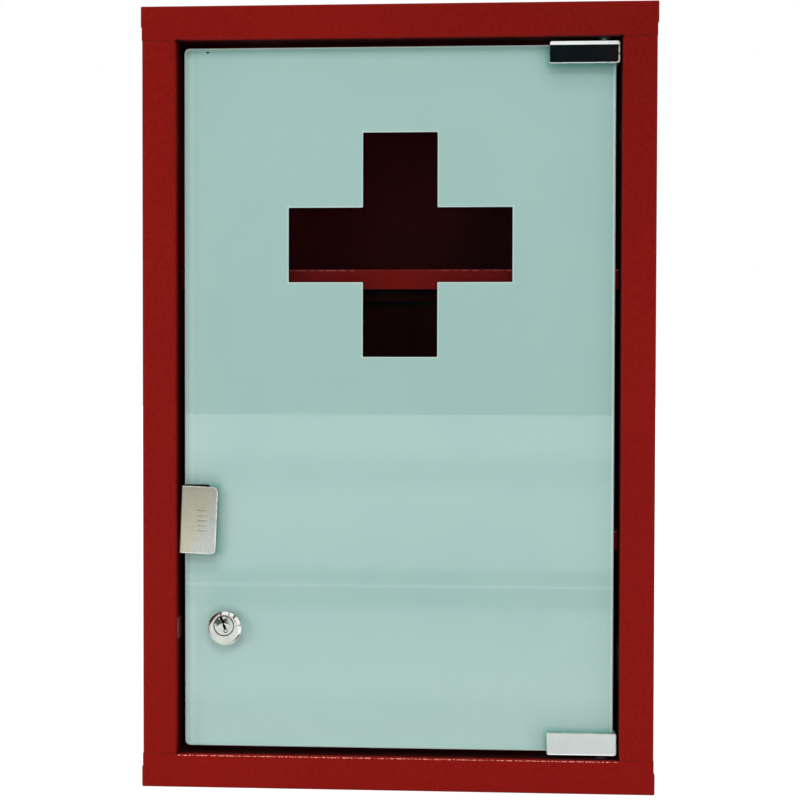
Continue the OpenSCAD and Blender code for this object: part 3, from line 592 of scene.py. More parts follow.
def mint_print():
    """Screen-printed mint enamel, fused to the back of the glass, with a faint cloudiness; light and shade
    from the frame and the fittings are painted on it.
    """
    f = Finish("mint_print", Roughness=0.6, Specular_IOR_Level=0.1)
    use = f.group(HANDLING, Patch_Size=70.0, Seed=4.0)
    peel = f.group(ORANGE_PEEL, Peel_Size=0.9, Grain_Size=0.3, Grain_Share=0.5)
    colour = f.blend(use["Smudge"], rgb(173, 204, 199), rgb(168, 202, 197))
    colour = f.blend(f.times(peel["Mottle"], 0.3), colour, rgb(166, 200, 194))

    def about(point, tall=1.0):
        """Millimetres across and up from a point on the print."""
        centred = f.moved((-point.x * MM, 0.0, -point.y * MM))
        return f.vector("MULTIPLY", centred, (1 / MM, 0.0, tall / MM))

    # Thin pale bead where the ink ends round the cross
    place = f.axes(about(CROSS_MIDDLE))
    wide, tall = f.size(place["X"]), f.size(place["Z"])
    a, b = CROSS_ARM / 2, CROSS_SPAN / 2
    past = f.least(f.most(f.less(wide, a), f.less(tall, b)), f.most(f.less(tall, a), f.less(wide, b)))
    colour = f.blend(f.ramp(past, 0.85, 0.45, 0.0, 0.5), colour, rgb(226, 240, 236))

    # Painted light, paler to the foot and down the lock side; painted shade, a thin deeper line down that
    # side and a deeper band along the top under the frame
    at = f.at()
    low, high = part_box("door_print_film")
    strip = f.times(f.ramp(at["X"], low.x + 18 * MM, low.x + 5 * MM),
                    f.ramp(at["Z"], high.z - 20 * MM, low.z, 0.06, 0.42))
    foot = f.ramp(at["Z"], low.z + 90 * MM, low.z, 0.0, 0.42)
    rim = f.ramp(at["X"], low.x + 6 * MM, low.x + 3.5 * MM, 0.0, 0.45)
    colour = f.blend(f.plus(f.most(strip, foot), rim), colour, rgb(204, 226, 220))
    colour = f.tint(f.ramp(at["Z"], high.z - 2.3 * MM, high.z - 1.5 * MM), colour, (0.82, 0.89, 0.86, 1.0))
    colour = f.tint(f.span(at["X"], low.x + 1.1 * MM, 0.25 * MM, 0.6 * MM), colour, (0.84, 0.90, 0.92, 1.0))

    # Painted highlight, a pale line down the hinge side; then painted soft shade where the fittings stand
    # close
    pale = f.ramp(at["X"], high.x - 0.9 * MM, high.x - 0.5 * MM, 0.0, 0.85)
    colour = f.blend(pale, colour, rgb(224, 236, 232))
    near, wide = fitting_shades(f)
    colour = f.tint(wide, colour, (0.70, 0.79, 0.77, 1.0))
    colour = f.tint(near, colour, (0.62, 0.93, 0.88, 1.0))

    # Dark fleck in the ink near the upper left corner
    away = f.vector("LENGTH", about(INK_FLECK, 1.6))
    colour = f.blend(f.ramp(away, 1.0, 0.8), colour, rgb(10, 12, 14))
    return f.done(peel["Height"], 0.004, Base_Color=colour)


def clear_glass():
    """Toughened float glass with finger smudges. Lamps and bounced light pass straight through it."""
    f = Finish("clear_glass", Transmission_Weight=1.0, IOR=1.5, Base_Color=(0.965, 0.99, 0.982, 1.0))
    smudge = f.group(HANDLING, Patch_Size=55.0, Seed=7.0)["Smudge"]
    lines = f.group(FINE_SCRATCHES, Scratch_Size=26.0, Seed=6.0)["Mask"]
    f.feed(Roughness=f.plus(f.ramp(smudge, 0.0, 1.0, 0.012, 0.04), f.times(lines, 0.03)))
    clear = f.add("ShaderNodeBsdfTransparent", {"Color": (0.965, 0.985, 0.98, 1.0)}).outputs[0]
    rays = f.add("ShaderNodeLightPath").outputs
    through = f.shader.outputs[0]
    for kind in ("Is Shadow Ray", "Is Diffuse Ray"):
        through = f.add("ShaderNodeMixShader", {0: rays[kind], 1: through, 2: clear}).outputs[0]
    f.tree.links.new(through, f.output.inputs["Surface"])
    return f.material


def ground_edge():
    """Ground and seamed glass edge: pale, matt and a little chalky."""
    f = Finish("ground_edge", Specular_IOR_Level=0.4, Roughness=0.5)
    chalk = f.group(ORANGE_PEEL, Peel_Size=0.7, Grain_Size=0.25, Grain_Share=0.6, Seed=9.0)
    wear = f.group(EDGE_WEAR, Round=0.2, Reach=0.3, Break_Size=3.0)
    colour = f.blend(f.ramp(chalk["Mottle"], 0.3, 1.1), rgb(198, 216, 211), rgb(222, 234, 229))
    return f.done(chalk["Height"], 0.02, wear, Base_Color=colour)


FINISHES = {
    "red_powder_coat": red_powder_coat(),
    "clear_glass": clear_glass(),
    "mint_print": mint_print(),
    "chrome_plate": chrome_plate(),
    "satin_nickel": satin_nickel(),
    "keeper_steel": metal("keeper_steel", rgb(172, 116, 106), 0.6, grime=0.5)}
for name, colour, roughness in (
        ("screw_steel", (196, 196, 198), 0.3), ("spring_steel", (168, 168, 172), 0.3),
        ("pin_steel", (226, 226, 224), 0.45), ("black_screw_steel", (60, 60, 62), 0.4),
        ("lock_chrome", (238, 240, 236), 0.09), ("nut_zinc", (196, 190, 168), 0.35),
        ("magnet_ferrite", (84, 84, 88), 0.5)):
    FINISHES[name] = metal(name, rgb(*colour), roughness)
for name, colour, *look in (
        ("black_nylon", (38, 38, 40), 0.5), ("latch_plastic", (205, 205, 200), 0.45),
        ("liner_plastic", (30, 30, 30), 0.6), ("black_foam", (20, 20, 24), 0.9, 0.08, 0.5)):
    FINISHES[name] = moulded(name, rgb(*colour), *look)
EDGE_FINISH = ground_edge()
# The lock's faces take strong painted shade in their hollows
LOCK_FACE = metal("lock_satin", rgb(197, 200, 194), 0.22, scratch_size=1.5, brush=0.4, seed=8.0, grime=0.9)
FAN_FACE = metal("lock_fan", rgb(186, 192, 182), 0.26, scratch_size=1.0, seed=4.0, grime=0.9)
# Painted shade: a near-black finish on the keyway, the cup round the pin and the upper bore, which lie in
# shade
KEYWAY_SHADE = moulded("keyway_black", rgb(7, 7, 7), 0.8)

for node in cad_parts.values():
    name = node.material_slots[0].material.name.split(".")[0]
    for slot in node.material_slots:
        slot.material = FINISHES[name]

# ---------------------------------------------------------------- building shapes
# Plates, rings and folded sheet are drawn in front coordinates: across, up and out of the front.

FRONTAL = Matrix.Rotation(math.radians(90), 4, "X")
AS_DRAWN = Matrix.Identity(4)    # for shapes drawn in the cabinet's own coordinates


def arc(centre, radius, start, end, steps):
    """Points of an arc from one angle to another, in degrees."""
    angles = (math.radians(start + (end - start) * i / steps) for i in range(steps + 1))
    return [Vector((centre[0] + radius * math.cos(a), centre[1] + radius * math.sin(a))) for a in angles]


def circle(centre, radius, sides):
    return arc(centre, radius, 0, 360, sides)[:-1]


def rounded_outline(x0, x1, y0, y1, radii, steps):
    """Rectangle with its own radius at each corner, anticlockwise from the lower left."""
    corners = ((x0, y0, 1, 1, 180), (x1, y0, -1, 1, 270), (x1, y1, -1, -1, 0), (x0, y1, 1, -1, 90))
    return [p for (x, y, sx, sy, start), r in zip(corners, radii)
            for p in arc((x + sx * r, y + sy * r), r, start, start + 90, steps)]


def cross_outline(a, b):
    """Upright cross, anticlockwise, from half the width of its arms and their reach."""
    points = [Vector((a, -b)), Vector((a, -a)), Vector((b, -a))]
    for i in range(9):
        points.append(Vector((-points[i].y, points[i].x)))
    return points


def inset(loop, distance):
    """An anticlockwise outline moved inwards by a distance."""
    moved = []
    for i, point in enumerate(loop):
        before = (point - loop[i - 1]).normalized().orthogonal()
        after = (loop[(i + 1) % len(loop)] - point).normalized().orthogonal()
        moved.append(point + (before + after) * (distance / (1 + before.dot(after))))
    return moved


def ring_of(bm, loop, height):
    return [bm.verts.new((p[0], p[1], height)) for p in loop]


def band(bm, a, b, finish=0):
    """Joins two rings of as many points with quads."""
    for i in range(len(a)):
        j = (i + 1) % len(a)
        bm.faces.new((a[i], a[j], b[j], b[i])).material_index = finish


def lid(bm, rings, finish=0):
    """Fills the flat area between rings: the first outside, the others holes in it."""
    edges = []
    for ring in rings:
        for i in range(len(ring)):
            pair = (ring[i - 1], ring[i])
            edges.append(bm.edges.get(pair) or bm.edges.new(pair))
    filled = bmesh.ops.triangle_fill(bm, use_beauty=True, use_dissolve=False, edges=edges)
    for face in filled["geom"]:
        if isinstance(face, bmesh.types.BMFace):
            face.material_index = finish


def plate(outer, holes, levels, edge_finish=0):
    """Flat plate through levels of (inset, height), from its front to its back."""
    bm = bmesh.new()
    loops = [(outer, 1)] + [(hole, -1) for hole in holes]
    stacks = [[ring_of(bm, inset(loop, sign * shrink), height) for shrink, height in levels]
              for loop, sign in loops]
    for stack in stacks:
        for upper, lower in zip(stack, stack[1:]):
            band(bm, upper, lower, edge_finish)
    for end in (0, -1):
        lid(bm, [stack[end] for stack in stacks])
    return bm


def polar(radius, up, sides):
    """Ring outline; the radius is a number or a function of the angle in degrees."""
    points = []
    for degrees in (360 * i / sides for i in range(sides)):
        r, a = radius(degrees) if callable(radius) else radius, math.radians(degrees)
        points.append(Vector((r * math.cos(a), up + r * math.sin(a))))
    return points


def hexagon(across):
    """Radius of a hexagon by angle, in degrees."""
    return lambda angle: across / 2 / math.cos(math.radians(angle % 60 - 30))


def turned(rings, sides, closed=False):
    """Skin through rings of (radius, height, offset up, finish). Radius 0 is a pole; closed joins ends."""
    bm = bmesh.new()
    made = []
    for radius, height, *more in rings:
        up = more[0] if more else 0.0
        if radius == 0:
            made.append([bm.verts.new((0, up, height))])
        else:
            made.append(ring_of(bm, polar(radius, up, sides), height))
    pairs = list(zip(range(len(made)), range(1, len(made))))
    if closed:
        pairs.append((len(made) - 1, 0))
    for i, j in pairs:
        finish = rings[j][3] if len(rings[j]) > 3 else 0
        a, b = made[i], made[j]
        if len(a) == 1 or len(b) == 1:
            pole, ring = (a[0], b) if len(a) == 1 else (b[0], a)
            for k in range(len(ring)):
                bm.faces.new((pole, ring[k - 1], ring[k])).material_index = finish
        else:
            band(bm, a, b, finish)
    return bm


def shifted(bm, matrix):
    bmesh.ops.transform(bm, verts=bm.verts, matrix=matrix)
    return bm


def rod(radius, top, foot, sides):
    return turned([(0, top), (radius, top), (radius, foot), (0, foot)], sides)


def box_shape(low, high):
    bm = bmesh.new()
    bmesh.ops.create_cube(bm, size=1.0)
    low, high = Vector(low), Vector(high)
    return shifted(bm, Matrix.Translation((low + high) / 2) @ Matrix.Diagonal((high - low).to_4d()))


def mesh_of(bm, finishes=()):
    """Closes a bmesh into a mesh."""
    mesh = bpy.data.meshes.new("shape")
    bm.to_mesh(mesh)
    bm.free()
    for finish in finishes:
        mesh.materials.append(finish)
    return mesh


def plain_mesh(bm, finishes=()):
    """Closes a bmesh into a mesh with its faces turned outwards."""
    bmesh.ops.recalc_face_normals(bm, faces=bm.faces)
    return mesh_of(bm, finishes)


def joined(*meshes):
    """One mesh of several; faces keep their finishes, each of which is listed once."""
    bm = bmesh.new()
    finishes = []
    for mesh in meshes:
        start = len(bm.faces)
        bm.from_mesh(mesh)
        own = list(mesh.materials)
        for finish in own:
            if finish not in finishes:
                finishes.append(finish)
        bm.faces.ensure_lookup_table()
        for face in bm.faces[start:]:
            face.material_index = finishes.index(own[face.material_index]) if own else 0
    return mesh_of(bm, finishes)


def evaluated(body):
    """Plain mesh of an object with its modifiers; the object is removed."""
    bpy.context.view_layer.update()
    made = bpy.data.meshes.new_from_object(body.evaluated_get(bpy.context.evaluated_depsgraph_get()))
    bpy.data.objects.remove(body)
    return made


def eased(mesh, width):
    """Rounds the sharp edges of a mesh."""
    body = in_scene("blank", mesh)
    bevel = body.modifiers.new("round", "BEVEL")
    bevel.width = width
    bevel.segments = 2
    bevel.limit_method = "ANGLE"
    bevel.use_clamp_overlap = False
    return evaluated(body)


def cut_by(mesh, cutters):
    """Cuts other meshes out of a mesh; the cut faces take the cutters' finishes."""
    body = in_scene("blank", mesh)
    tools = [in_scene("cutter", cutter) for cutter in cutters]
    for tool in tools:
        cut = body.modifiers.new("cut", "BOOLEAN")
        cut.object = tool
        cut.operation = "DIFFERENCE"
        cut.solver = "EXACT"
        cut.material_mode = "TRANSFER"
    made = evaluated(body)
    for tool in tools:
        bpy.data.objects.remove(tool)
    return made


def evenly_shaded(mesh, sharp):
    """Smooth shading that stays flat on flat faces, with sharp edges over an angle."""
    mesh.shade_smooth()
    mesh.set_sharp_from_angle(angle=math.radians(sharp))
    body = in_scene("blank", mesh)
    weighted = body.modifiers.new("flat", "WEIGHTED_NORMAL")
    weighted.keep_sharp = True
    return evaluated(body)


def piece(name, mesh, body, slot, nodes, place=FRONTAL, finishes=(), sharp=35.0):
    """Puts a finished mesh in the scene as a piece that rides on a body."""
    mesh.transform(Matrix.Scale(MM, 4) @ place)
    mesh = evenly_shaded(mesh, sharp)
    mesh.name = name
    if finishes or not mesh.materials or None in list(mesh.materials):
        for i, finish in enumerate(finishes or [FINISHES[slot]]):
            if i < len(mesh.materials):
                mesh.materials[i] = finish
            else:
                mesh.materials.append(finish)
    made = in_scene(name, mesh)
    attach(made, body)
    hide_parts(*nodes)
    return made


# ---------------------------------------------------------------- growing shapes


def grown(group, start, **values):
    """Runs a Geometry Nodes tree over a starting mesh and gives back the plain mesh it makes."""
    carrier = in_scene("carrier", start)
    modifier = carrier.modifiers.new("grow", "NODES")
    modifier.node_group = group
    for socket in group.interface.items_tree:
        label = socket.name.replace(" ", "_")
        if socket.item_type == "SOCKET" and socket.in_out == "INPUT" and label in values:
            modifier[socket.identifier] = values[label]
    return evaluated(carrier)


def real_and_finished(t, geometry):
    """Turns instances into real geometry and gives it the finish the group is given."""
    real = t.add("GeometryNodeRealizeInstances", {"Geometry": geometry}).outputs["Geometry"]
    finished = t.add("GeometryNodeSetMaterial", {"Geometry": real, "Material": t.given["Finish"]})
    return finished.outputs["Geometry"]


def fastener_set_tree():
    """Sets a fastener at each point, its head along the point's facing, turned by chance about it."""
    inputs = {"Points": "Geometry", "Fastener": "Object", "Largest Turn": math.tau, "Seed": 1,
              "Finish": "Material"}
    t = Group("fastener_set", "GeometryNodeTree", inputs, Set="Geometry")
    shape = t.add("GeometryNodeObjectInfo", {"Object": t.given["Fastener"]}, transform_space="ORIGINAL")
    facing = t.add("GeometryNodeInputNamedAttribute", {"Name": "facing"}, data_type="FLOAT_VECTOR")
    aligned = t.add("FunctionNodeAlignRotationToVector", {"Vector": facing.outputs["Attribute"]}, axis="Z")
    turns = {"Max": t.given["Largest Turn"], "Seed": t.given["Seed"]}
    chance = t.add("FunctionNodeRandomValue", turns, data_type="FLOAT")
    angle = next(o for o in chance.outputs if o.enabled)
    spin = t.add("FunctionNodeAxisAngleToRotation", {"Axis": (0, 0, 1), "Angle": angle})
    both = {"Rotation": aligned.outputs["Rotation"], "Rotate By": spin.outputs["Rotation"]}
    rotation = t.add("FunctionNodeRotateRotation", both, rotation_space="LOCAL").outputs["Rotation"]
    points = t.add("GeometryNodeMeshToPoints", {"Mesh": t.given["Points"]}).outputs["Points"]
    copies = {"Points": points, "Instance": shape.outputs["Geometry"], "Rotation": rotation}
    copies = t.add("GeometryNodeInstanceOnPoints", copies).outputs["Instances"]
    return t.give(Set=real_and_finished(t, copies))


def coil_tree():
    """Wire or ridge wound about Z: a spiral swept with a round or few-sided section."""
    inputs = {"Start": "Geometry", "Radius": 1.0, "Rise": 1.0, "Turns": 5.0, "Section": 0.2, "Sides": 10,
              "Steps": 48, "Finish": "Material"}
    t = Group("coil", "GeometryNodeTree", inputs, Coil="Geometry")
    path = t.add("GeometryNodeCurveSpiral", {
        "Resolution": t.given["Steps"], "Rotations": t.given["Turns"], "Start Radius": t.given["Radius"],
        "End Radius": t.given["Radius"], "Height": t.given["Rise"]})
    path = t.add("GeometryNodeSetCurveNormal", {"Curve": path.outputs["Curve"]}, mode="Z_UP")
    section = {"Resolution": t.given["Sides"], "Radius": t.given["Section"]}
    section = t.add("GeometryNodeCurvePrimitiveCircle", section, mode="RADIUS")
    swept = t.add("GeometryNodeCurveToMesh", {
        "Curve": path.outputs["Curve"], "Profile Curve": section.outputs["Curve"], "Fill Caps": True})
    return t.give(Coil=real_and_finished(t, swept.outputs["Mesh"]))


FASTENER_SET = fastener_set_tree()
COIL = coil_tree()


def fastener_mesh(shape, places, slot, seed):
    """Copies of a fastener, drawn head up at the origin, at places of (point, facing)."""
    points = bpy.data.meshes.new("places")
    points.from_pydata([p for p, _ in places], [], [])
    facing = points.attributes.new("facing", "FLOAT_VECTOR", "POINT")
    for i, (_, way) in enumerate(places):
        facing.data[i].vector = way
    one = bpy.data.objects.new("one_fastener", shape)
    made = grown(FASTENER_SET, points, Fastener=one, Largest_Turn=math.tau, Seed=seed, Finish=FINISHES[slot])
    bpy.data.objects.remove(one)
    return made


def coil_mesh(slot, **values):
    return grown(COIL, bpy.data.meshes.new("start"), Finish=FINISHES[slot], **values)


# ---------------------------------------------------------------- door glass and print


def glass_outline(margin):
    return rounded_outline(GLASS_LOW.x + margin, GLASS_HIGH.x - margin, GLASS_LOW.z + margin,
                           GLASS_HIGH.z - margin, [CORNER_R - margin] * 4, 12)


def clear_cross():
    """Outline of the clear cross, with slightly softened corners."""
    points = [CROSS_MIDDLE + p for p in cross_outline(CROSS_ARM / 2, CROSS_SPAN / 2)]
    reach = 0.4
    soft = []
    for i, point in enumerate(points):
        before = (points[i - 1] - point).normalized() * reach
        after = (points[(i + 1) % len(points)] - point).normalized() * reach
        soft += [point + before, point + 0.3 * (before + after), point + after]
    return soft


def make_glass():
    levels = [(ARRIS, FRONT), (0.1, FRONT - ARRIS + 0.1), (0.0, FRONT - ARRIS - 0.1),
              (0.0, BACK + BACK_ARRIS + 0.05), (0.05, BACK + BACK_ARRIS - 0.05), (BACK_ARRIS, BACK)]
    pane = plain_mesh(plate(glass_outline(0.0), [circle(LOCK_AXIS, BARREL_HOLE_R, 96)], levels, 1))
    piece("glass_pane", pane, "door", "clear_glass", ["door_glass"],
          finishes=[FINISHES["clear_glass"], EDGE_FINISH], sharp=25)

    levels = [(0.0, BACK + PRINT_SINK), (0.0, BACK - 0.2)]
    holes = [clear_cross(), circle(LOCK_AXIS, BARREL_HOLE_R + ARRIS, 96)]
    coat = plain_mesh(plate(glass_outline(BACK_ARRIS + 0.02), holes, levels))
    piece("mint_coat", coat, "door", "mint_print", ["door_print_film"], sharp=25)


make_glass()

# ---------------------------------------------------------------- hinge clamps


def clamp_blank(low, high, strip):
    """Block with eased edges and rounded corners; a strip along the top of its front leans back."""
    front, back, ease = -low.y, -high.y, 0.35
    turns = [math.radians(90 * i / 14) for i in range(15)]
    levels = [(ease * (1 - math.sin(a)), front - ease * (1 - math.cos(a))) for a in turns]
    levels += [(ease * (1 - math.cos(a)), back + ease * (1 - math.sin(a))) for a in turns]
    bm = plate(rounded_outline(low.x, high.x, low.z, high.z, CLAMP_CORNERS, 16), [], levels)
    line = high.z - strip
    everything = [*bm.verts, *bm.edges, *bm.faces]
    bmesh.ops.bisect_plane(bm, geom=everything, plane_co=(0, line, 0), plane_no=(0, 1, 0))
    for vertex in bm.verts:
        if vertex.co.y > line and vertex.co.z > (front + back) / 2:
            vertex.co.z -= (vertex.co.y - line) * math.tan(math.radians(STRIP_LEAN))
    blank = plain_mesh(bm)
    blank.transform(FRONTAL)
    return blank


def make_clamps():
    low, high = (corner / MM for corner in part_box("top_hinge_clamp"))
    screw_low, screw_high = (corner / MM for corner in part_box("clamp_set_screws"))
    screw_r, past = 2.0, 2.0
    front_wall, back_wall, end_wall = 1.6, 2.6, 1.4
    screw_xs = (screw_low.x + screw_r, screw_high.x - screw_r)
    screw_z = screw_high.z - screw_r

    # Slot for the glass, hole for the pin and holes for the set screws
    cutters = [box_shape((low.x - past, low.y + front_wall, low.z - past),
                         (high.x - end_wall, high.y - back_wall, high.z - end_wall)),
               shifted(rod(CLAMP_HOLE_R, *PIN_HOLE_ZS, 48), Matrix.Translation((PIVOT_X, PIVOT_Y, 0)))]
    for x in screw_xs:
        place = Matrix.Translation((x, high.y, screw_z)) @ FRONTAL
        cutters.append(shifted(rod(CLAMP_HOLE_R, 3, -4, 48), place))
    cutters = [plain_mesh(cutter) for cutter in cutters]

    for name, node, side, strip in (("upper_clamp", "top_hinge_clamp", 1, 2.5),
                                    ("lower_clamp", "bottom_hinge_clamp", -1, 0.9)):
        cast = cut_by(clamp_blank(low, high, strip), cutters)
        if side < 0:
            cast.transform(Matrix.Diagonal((1, 1, -1, 1)))
            cast.flip_normals()
        piece(name, cast, "door", "chrome_plate", [node], place=AS_DRAWN, sharp=6.9)

    one = plain_mesh(turned([
        (0, -1.5), (hexagon(2.0), -1.3), (hexagon(2.0), -0.05), (hexagon(2.2), 0), (1.7, 0), (1.98, -0.25),
        (1.98, -2.35), (1.5, -2.58), (0, -2.58)], 24))
    places = [((x, high.y, side * screw_z), (0, 1, 0)) for x in screw_xs for side in (1, -1)]
    screws = fastener_mesh(one, places, "black_screw_steel", 5)
    piece("set_screw_set", screws, "door", "black_screw_steel", ["clamp_set_screws"], place=AS_DRAWN)


make_clamps()

# ---------------------------------------------------------------- strike plate


def grip_depth(x, z):
    """Depth pressed into the plate at a point of its front."""
    depth = 0.0
    for i in range(GRIP_LINES):
        along = max(0.0, abs(x - 0.6 * STRIKE_W) - (GRIP_LEN / 2 - 0.3))
        away = math.hypot(along, z - (i - (GRIP_LINES - 1) / 2) * GRIP_PITCH)
        depth = max(depth, GRIP_DEPTH * min(1.0, max(0.0, (0.45 - away) / 0.3)))
    return depth


def strike_stations():
    """Along the strip's middle, from its free end behind the glass to the one in front: (x, out, normal)."""
    turns = [math.radians(a) for a in range(20, 91, 10)]
    ends = [STRIKE_W, STRIKE_W - 0.06] + [STRIKE_W - STRIKE_CORNER_R * (1 - math.cos(a)) for a in turns]
    stations = [(x, STRIKE_BACK, Vector((0, -1))) for x in ends + [17.0, 14.0, 10.0, 6.0, 3.0]]
    fold_x = STRIKE_FOLD_R + STRIKE_T / 2
    for out, start in ((STRIKE_BACK + STRIKE_FOLD_R, 270), (STRIKE_FRONT - STRIKE_FOLD_R, 180)):
        fold = arc((fold_x, out), STRIKE_FOLD_R, start, start - 90, 6)
        stations += [(p.x, p.y, normal) for p, normal in zip(fold, arc((0, 0), 1, start, start - 90, 6))]
    grips = [10.2 + 0.2 * i for i in range(31)]
    stations += [(x, STRIKE_FRONT, Vector((0, 1))) for x in [3.0, 6.0, 9.0] + grips + [17.5] + ends[::-1]]
    return stations


def strike_section(x, out, normal):
    """Ring of points round the strip at one station."""
    to_end = STRIKE_W - x
    tall = STRIKE_H / 2
    if to_end < STRIKE_CORNER_R:
        tall -= STRIKE_CORNER_R - math.sqrt(STRIKE_CORNER_R ** 2 - (STRIKE_CORNER_R - to_end) ** 2)
    ease = STRIKE_EASE if to_end > 0.03 else 0.0
    half = STRIKE_T / 2 - (STRIKE_EASE if to_end < 0.03 else 0.06 if to_end < 0.1 else 0.0)
    fine = [-9.0 + 0.15 * i for i in range(121)]
    ups = [-tall + ease, -13.0, -10.0] + fine + [10.0, 13.0, tall - ease]
    front = [(half - (grip_depth(x, z) if normal.y > 0.99 else 0.0), z) for z in ups]
    turns = [math.radians(a) for a in (60, 30, 0, -30, -60)]
    top = [(half - ease + ease * math.sin(a), tall - ease + ease * math.cos(a)) for a in turns]
    back = [(-half, z) for z in reversed(ups)]
    foot = [(thick, -z) for thick, z in reversed(top)]
    return [(x + normal.x * thick, z, out + normal.y * thick) for thick, z in front + top + back + foot]


def make_strike():
    bm = bmesh.new()
    sections = [[bm.verts.new(p) for p in strike_section(*station)] for station in strike_stations()]
    for a, b in zip(sections, sections[1:]):
        band(bm, a, b)
    for end in (sections[0], sections[-1]):
        bm.faces.new(end)
    lean = Matrix.Rotation(math.radians(STRIKE_TILT), 4, "Y")
    piece("strike_face", plain_mesh(bm), "door", "satin_nickel", ["strike_plate"],
          place=Matrix.Translation(STRIKE_EDGE) @ lean @ FRONTAL, sharp=50)


make_strike()

# ---------------------------------------------------------------- lock

AT_LOCK = Matrix.Translation((LOCK_AXIS.x, -FRONT, LOCK_AXIS.y)) @ FRONTAL
AT_PLUG = AT_LOCK @ Matrix.Translation((0, PLUG_UP, 0))


def lock_profile():
    """Rings of the lock's head and barrel, then of its bore, which lies a little above its axis."""
    # The upper bore's rings take the near-black finish of painted shade
    face, dark, up = 1, 2, PLUG_UP
    return [
        (8.36, LOCK_FACE_S, 0, face), (8.46, 3.67), (8.56, 3.59), (8.9, 3.23), (9.4, 2.69), (9.9, 2.15),
        (10.12, 1.9), (10.22, 1.74), (10.25, 1.5), (10.25, 0.68), (10.2, 0.56), (10.08, 0.5), (8.2, 0.5),
        (8.2, 0.2), (8.2, -4.2), (7.86, -4.5), (7.86, -12.3), (7.6, BARREL_END), (5.2, BARREL_END, up),
        (5.06, BARREL_END + 0.15, up), (5.06, 1.5, up), (5.84, 1.5, up, dark), (5.84, 3.3, up, dark),
        (5.95, 3.5, up, dark), (6.14, LOCK_FACE_S, up, dark)]


def make_lock_head():
    """Head with a satin face and a bright cone, and the threaded barrel."""
    finishes = [FINISHES["lock_chrome"], LOCK_FACE, KEYWAY_SHADE]
    head = plain_mesh(turned(lock_profile(), 128, closed=True), finishes)
    ridge = coil_mesh("lock_chrome", Radius=7.84, Rise=7.0, Turns=5.6, Section=0.38, Sides=4, Steps=72)
    ridge.transform(Matrix.Translation((0, 0, -12.1)))
    piece("lock_head", joined(head, ridge), "door", "lock_chrome", ["lock_housing"], place=AT_LOCK,
          finishes=finishes, sharp=28)


def keyway_cutter():
    """Warded keyway, leaning, from the rim of the plug's face to below its middle."""
    way = KEY_FOOT - KEY_TOP
    long, turn = way.length, math.atan2(-way.x, -way.y)
    outline = [
        (-0.75, 0.25), (-0.3, 0.0), (0.35, 0.0), (0.8, 0.3), (0.8, 2.1), (0.45, 2.45), (0.45, 3.6),
        (0.85, 3.95), (0.85, long - 0.4), (0.5, long), (-0.45, long), (-0.8, long - 0.35), (-0.8, 4.6),
        (-0.45, 4.3), (-0.45, 3.1), (-0.75, 2.75)]
    cutter = plate([Vector(p) for p in outline], [], [(0.0, 5.0), (0.0, -2.6)])
    place = Matrix.Translation((KEY_FOOT.x, KEY_FOOT.y, 0)) @ Matrix.Rotation(-turn, 4, "Z")
    # The keyway's faces take the near-black finish of painted shade
    return plain_mesh(shifted(cutter, place), [KEYWAY_SHADE])


def fan_cutter(side):
    """Fan-shaped dish beside the keyway, deepest at the keyway."""
    reach, deep = 4.7, 1.5
    ends = [(0.0, 0.9), (1.5, 1.35), (3.0, 1.9), (4.2, 2.5), (4.7, 1.6), (4.85, 0.0)]
    outline = [(x, -y) for x, y in ends] + ends[-2::-1]
    bm = bmesh.new()
    upper = [bm.verts.new((side * x, y, LOCK_FACE_S + 1.0)) for x, y in outline]
    lower = []
    for x, y in outline:
        depth = 0.02 + max(0.0, 1 - x / reach) * (deep + 0.45 * y)
        lower.append(bm.verts.new((side * x, y, LOCK_FACE_S - depth)))
    band(bm, upper, lower)
    lid(bm, [upper])
    lid(bm, [lower])
    place = Matrix.Translation((-0.75, 2.55, 0)) @ Matrix.Rotation(math.radians(8), 4, "Z")
    return plain_mesh(shifted(bm, place), [FAN_FACE])


def make_lock_core():
    """Plug with its keyway, the fan-shaped dishes beside it and a small domed pin at its foot."""
    plug = plain_mesh(turned([
        (0, LOCK_FACE_S), (5.3, LOCK_FACE_S), (5.5, 3.67), (5.64, 3.58), (5.72, 3.42), (5.75, 3.25),
        (5.75, 1.7), (5.65, 1.6), (5.0, 1.6), (5.0, CAM_S + 0.1), (4.9, CAM_S), (0, CAM_S)], 96), [LOCK_FACE])
    at_foot = Matrix.Translation((0.98, -3.0, 0))
    # The cup round the pin takes the near-black finish of painted shade
    cup = plain_mesh(shifted(rod(1.2, 4.2, 3.1, 32), at_foot), [KEYWAY_SHADE])
    plug = cut_by(plug, [keyway_cutter(), fan_cutter(1), fan_cutter(-1), cup])
    turns = [math.radians(a) for a in range(75, -1, -15)]
    dome = [(0.95 * math.cos(a), 3.2 + 0.5 * math.sin(a)) for a in turns]
    pin = shifted(turned([(0, 3.7)] + dome + [(0.95, 2.9), (0, 2.9)], 32), at_foot)
    tang = eased(plain_mesh(box_shape((-2.8, -2.8, CAM_S - 2.0), (2.8, 2.8, CAM_S + 0.2))), 0.3)
    tang.materials.clear()
    tang.materials.append(FINISHES["lock_chrome"])
    core = joined(plug, plain_mesh(pin, [FINISHES["lock_chrome"]]), tang)
    piece("lock_core", core, "lock_rotor", "lock_chrome", ["lock_plug"], place=AT_PLUG,
          finishes=list(core.materials), sharp=28)


def washer(outer, inner, low, high, ease, sides=96):
    """Flat ring with eased edges."""
    rings = [(outer - ease, high), (outer, high - ease), (outer, low + ease), (outer - ease, low),
             (inner + ease, low), (inner, low + ease), (inner, high - ease), (inner + ease, high)]
    return plain_mesh(turned(rings, sides, closed=True))


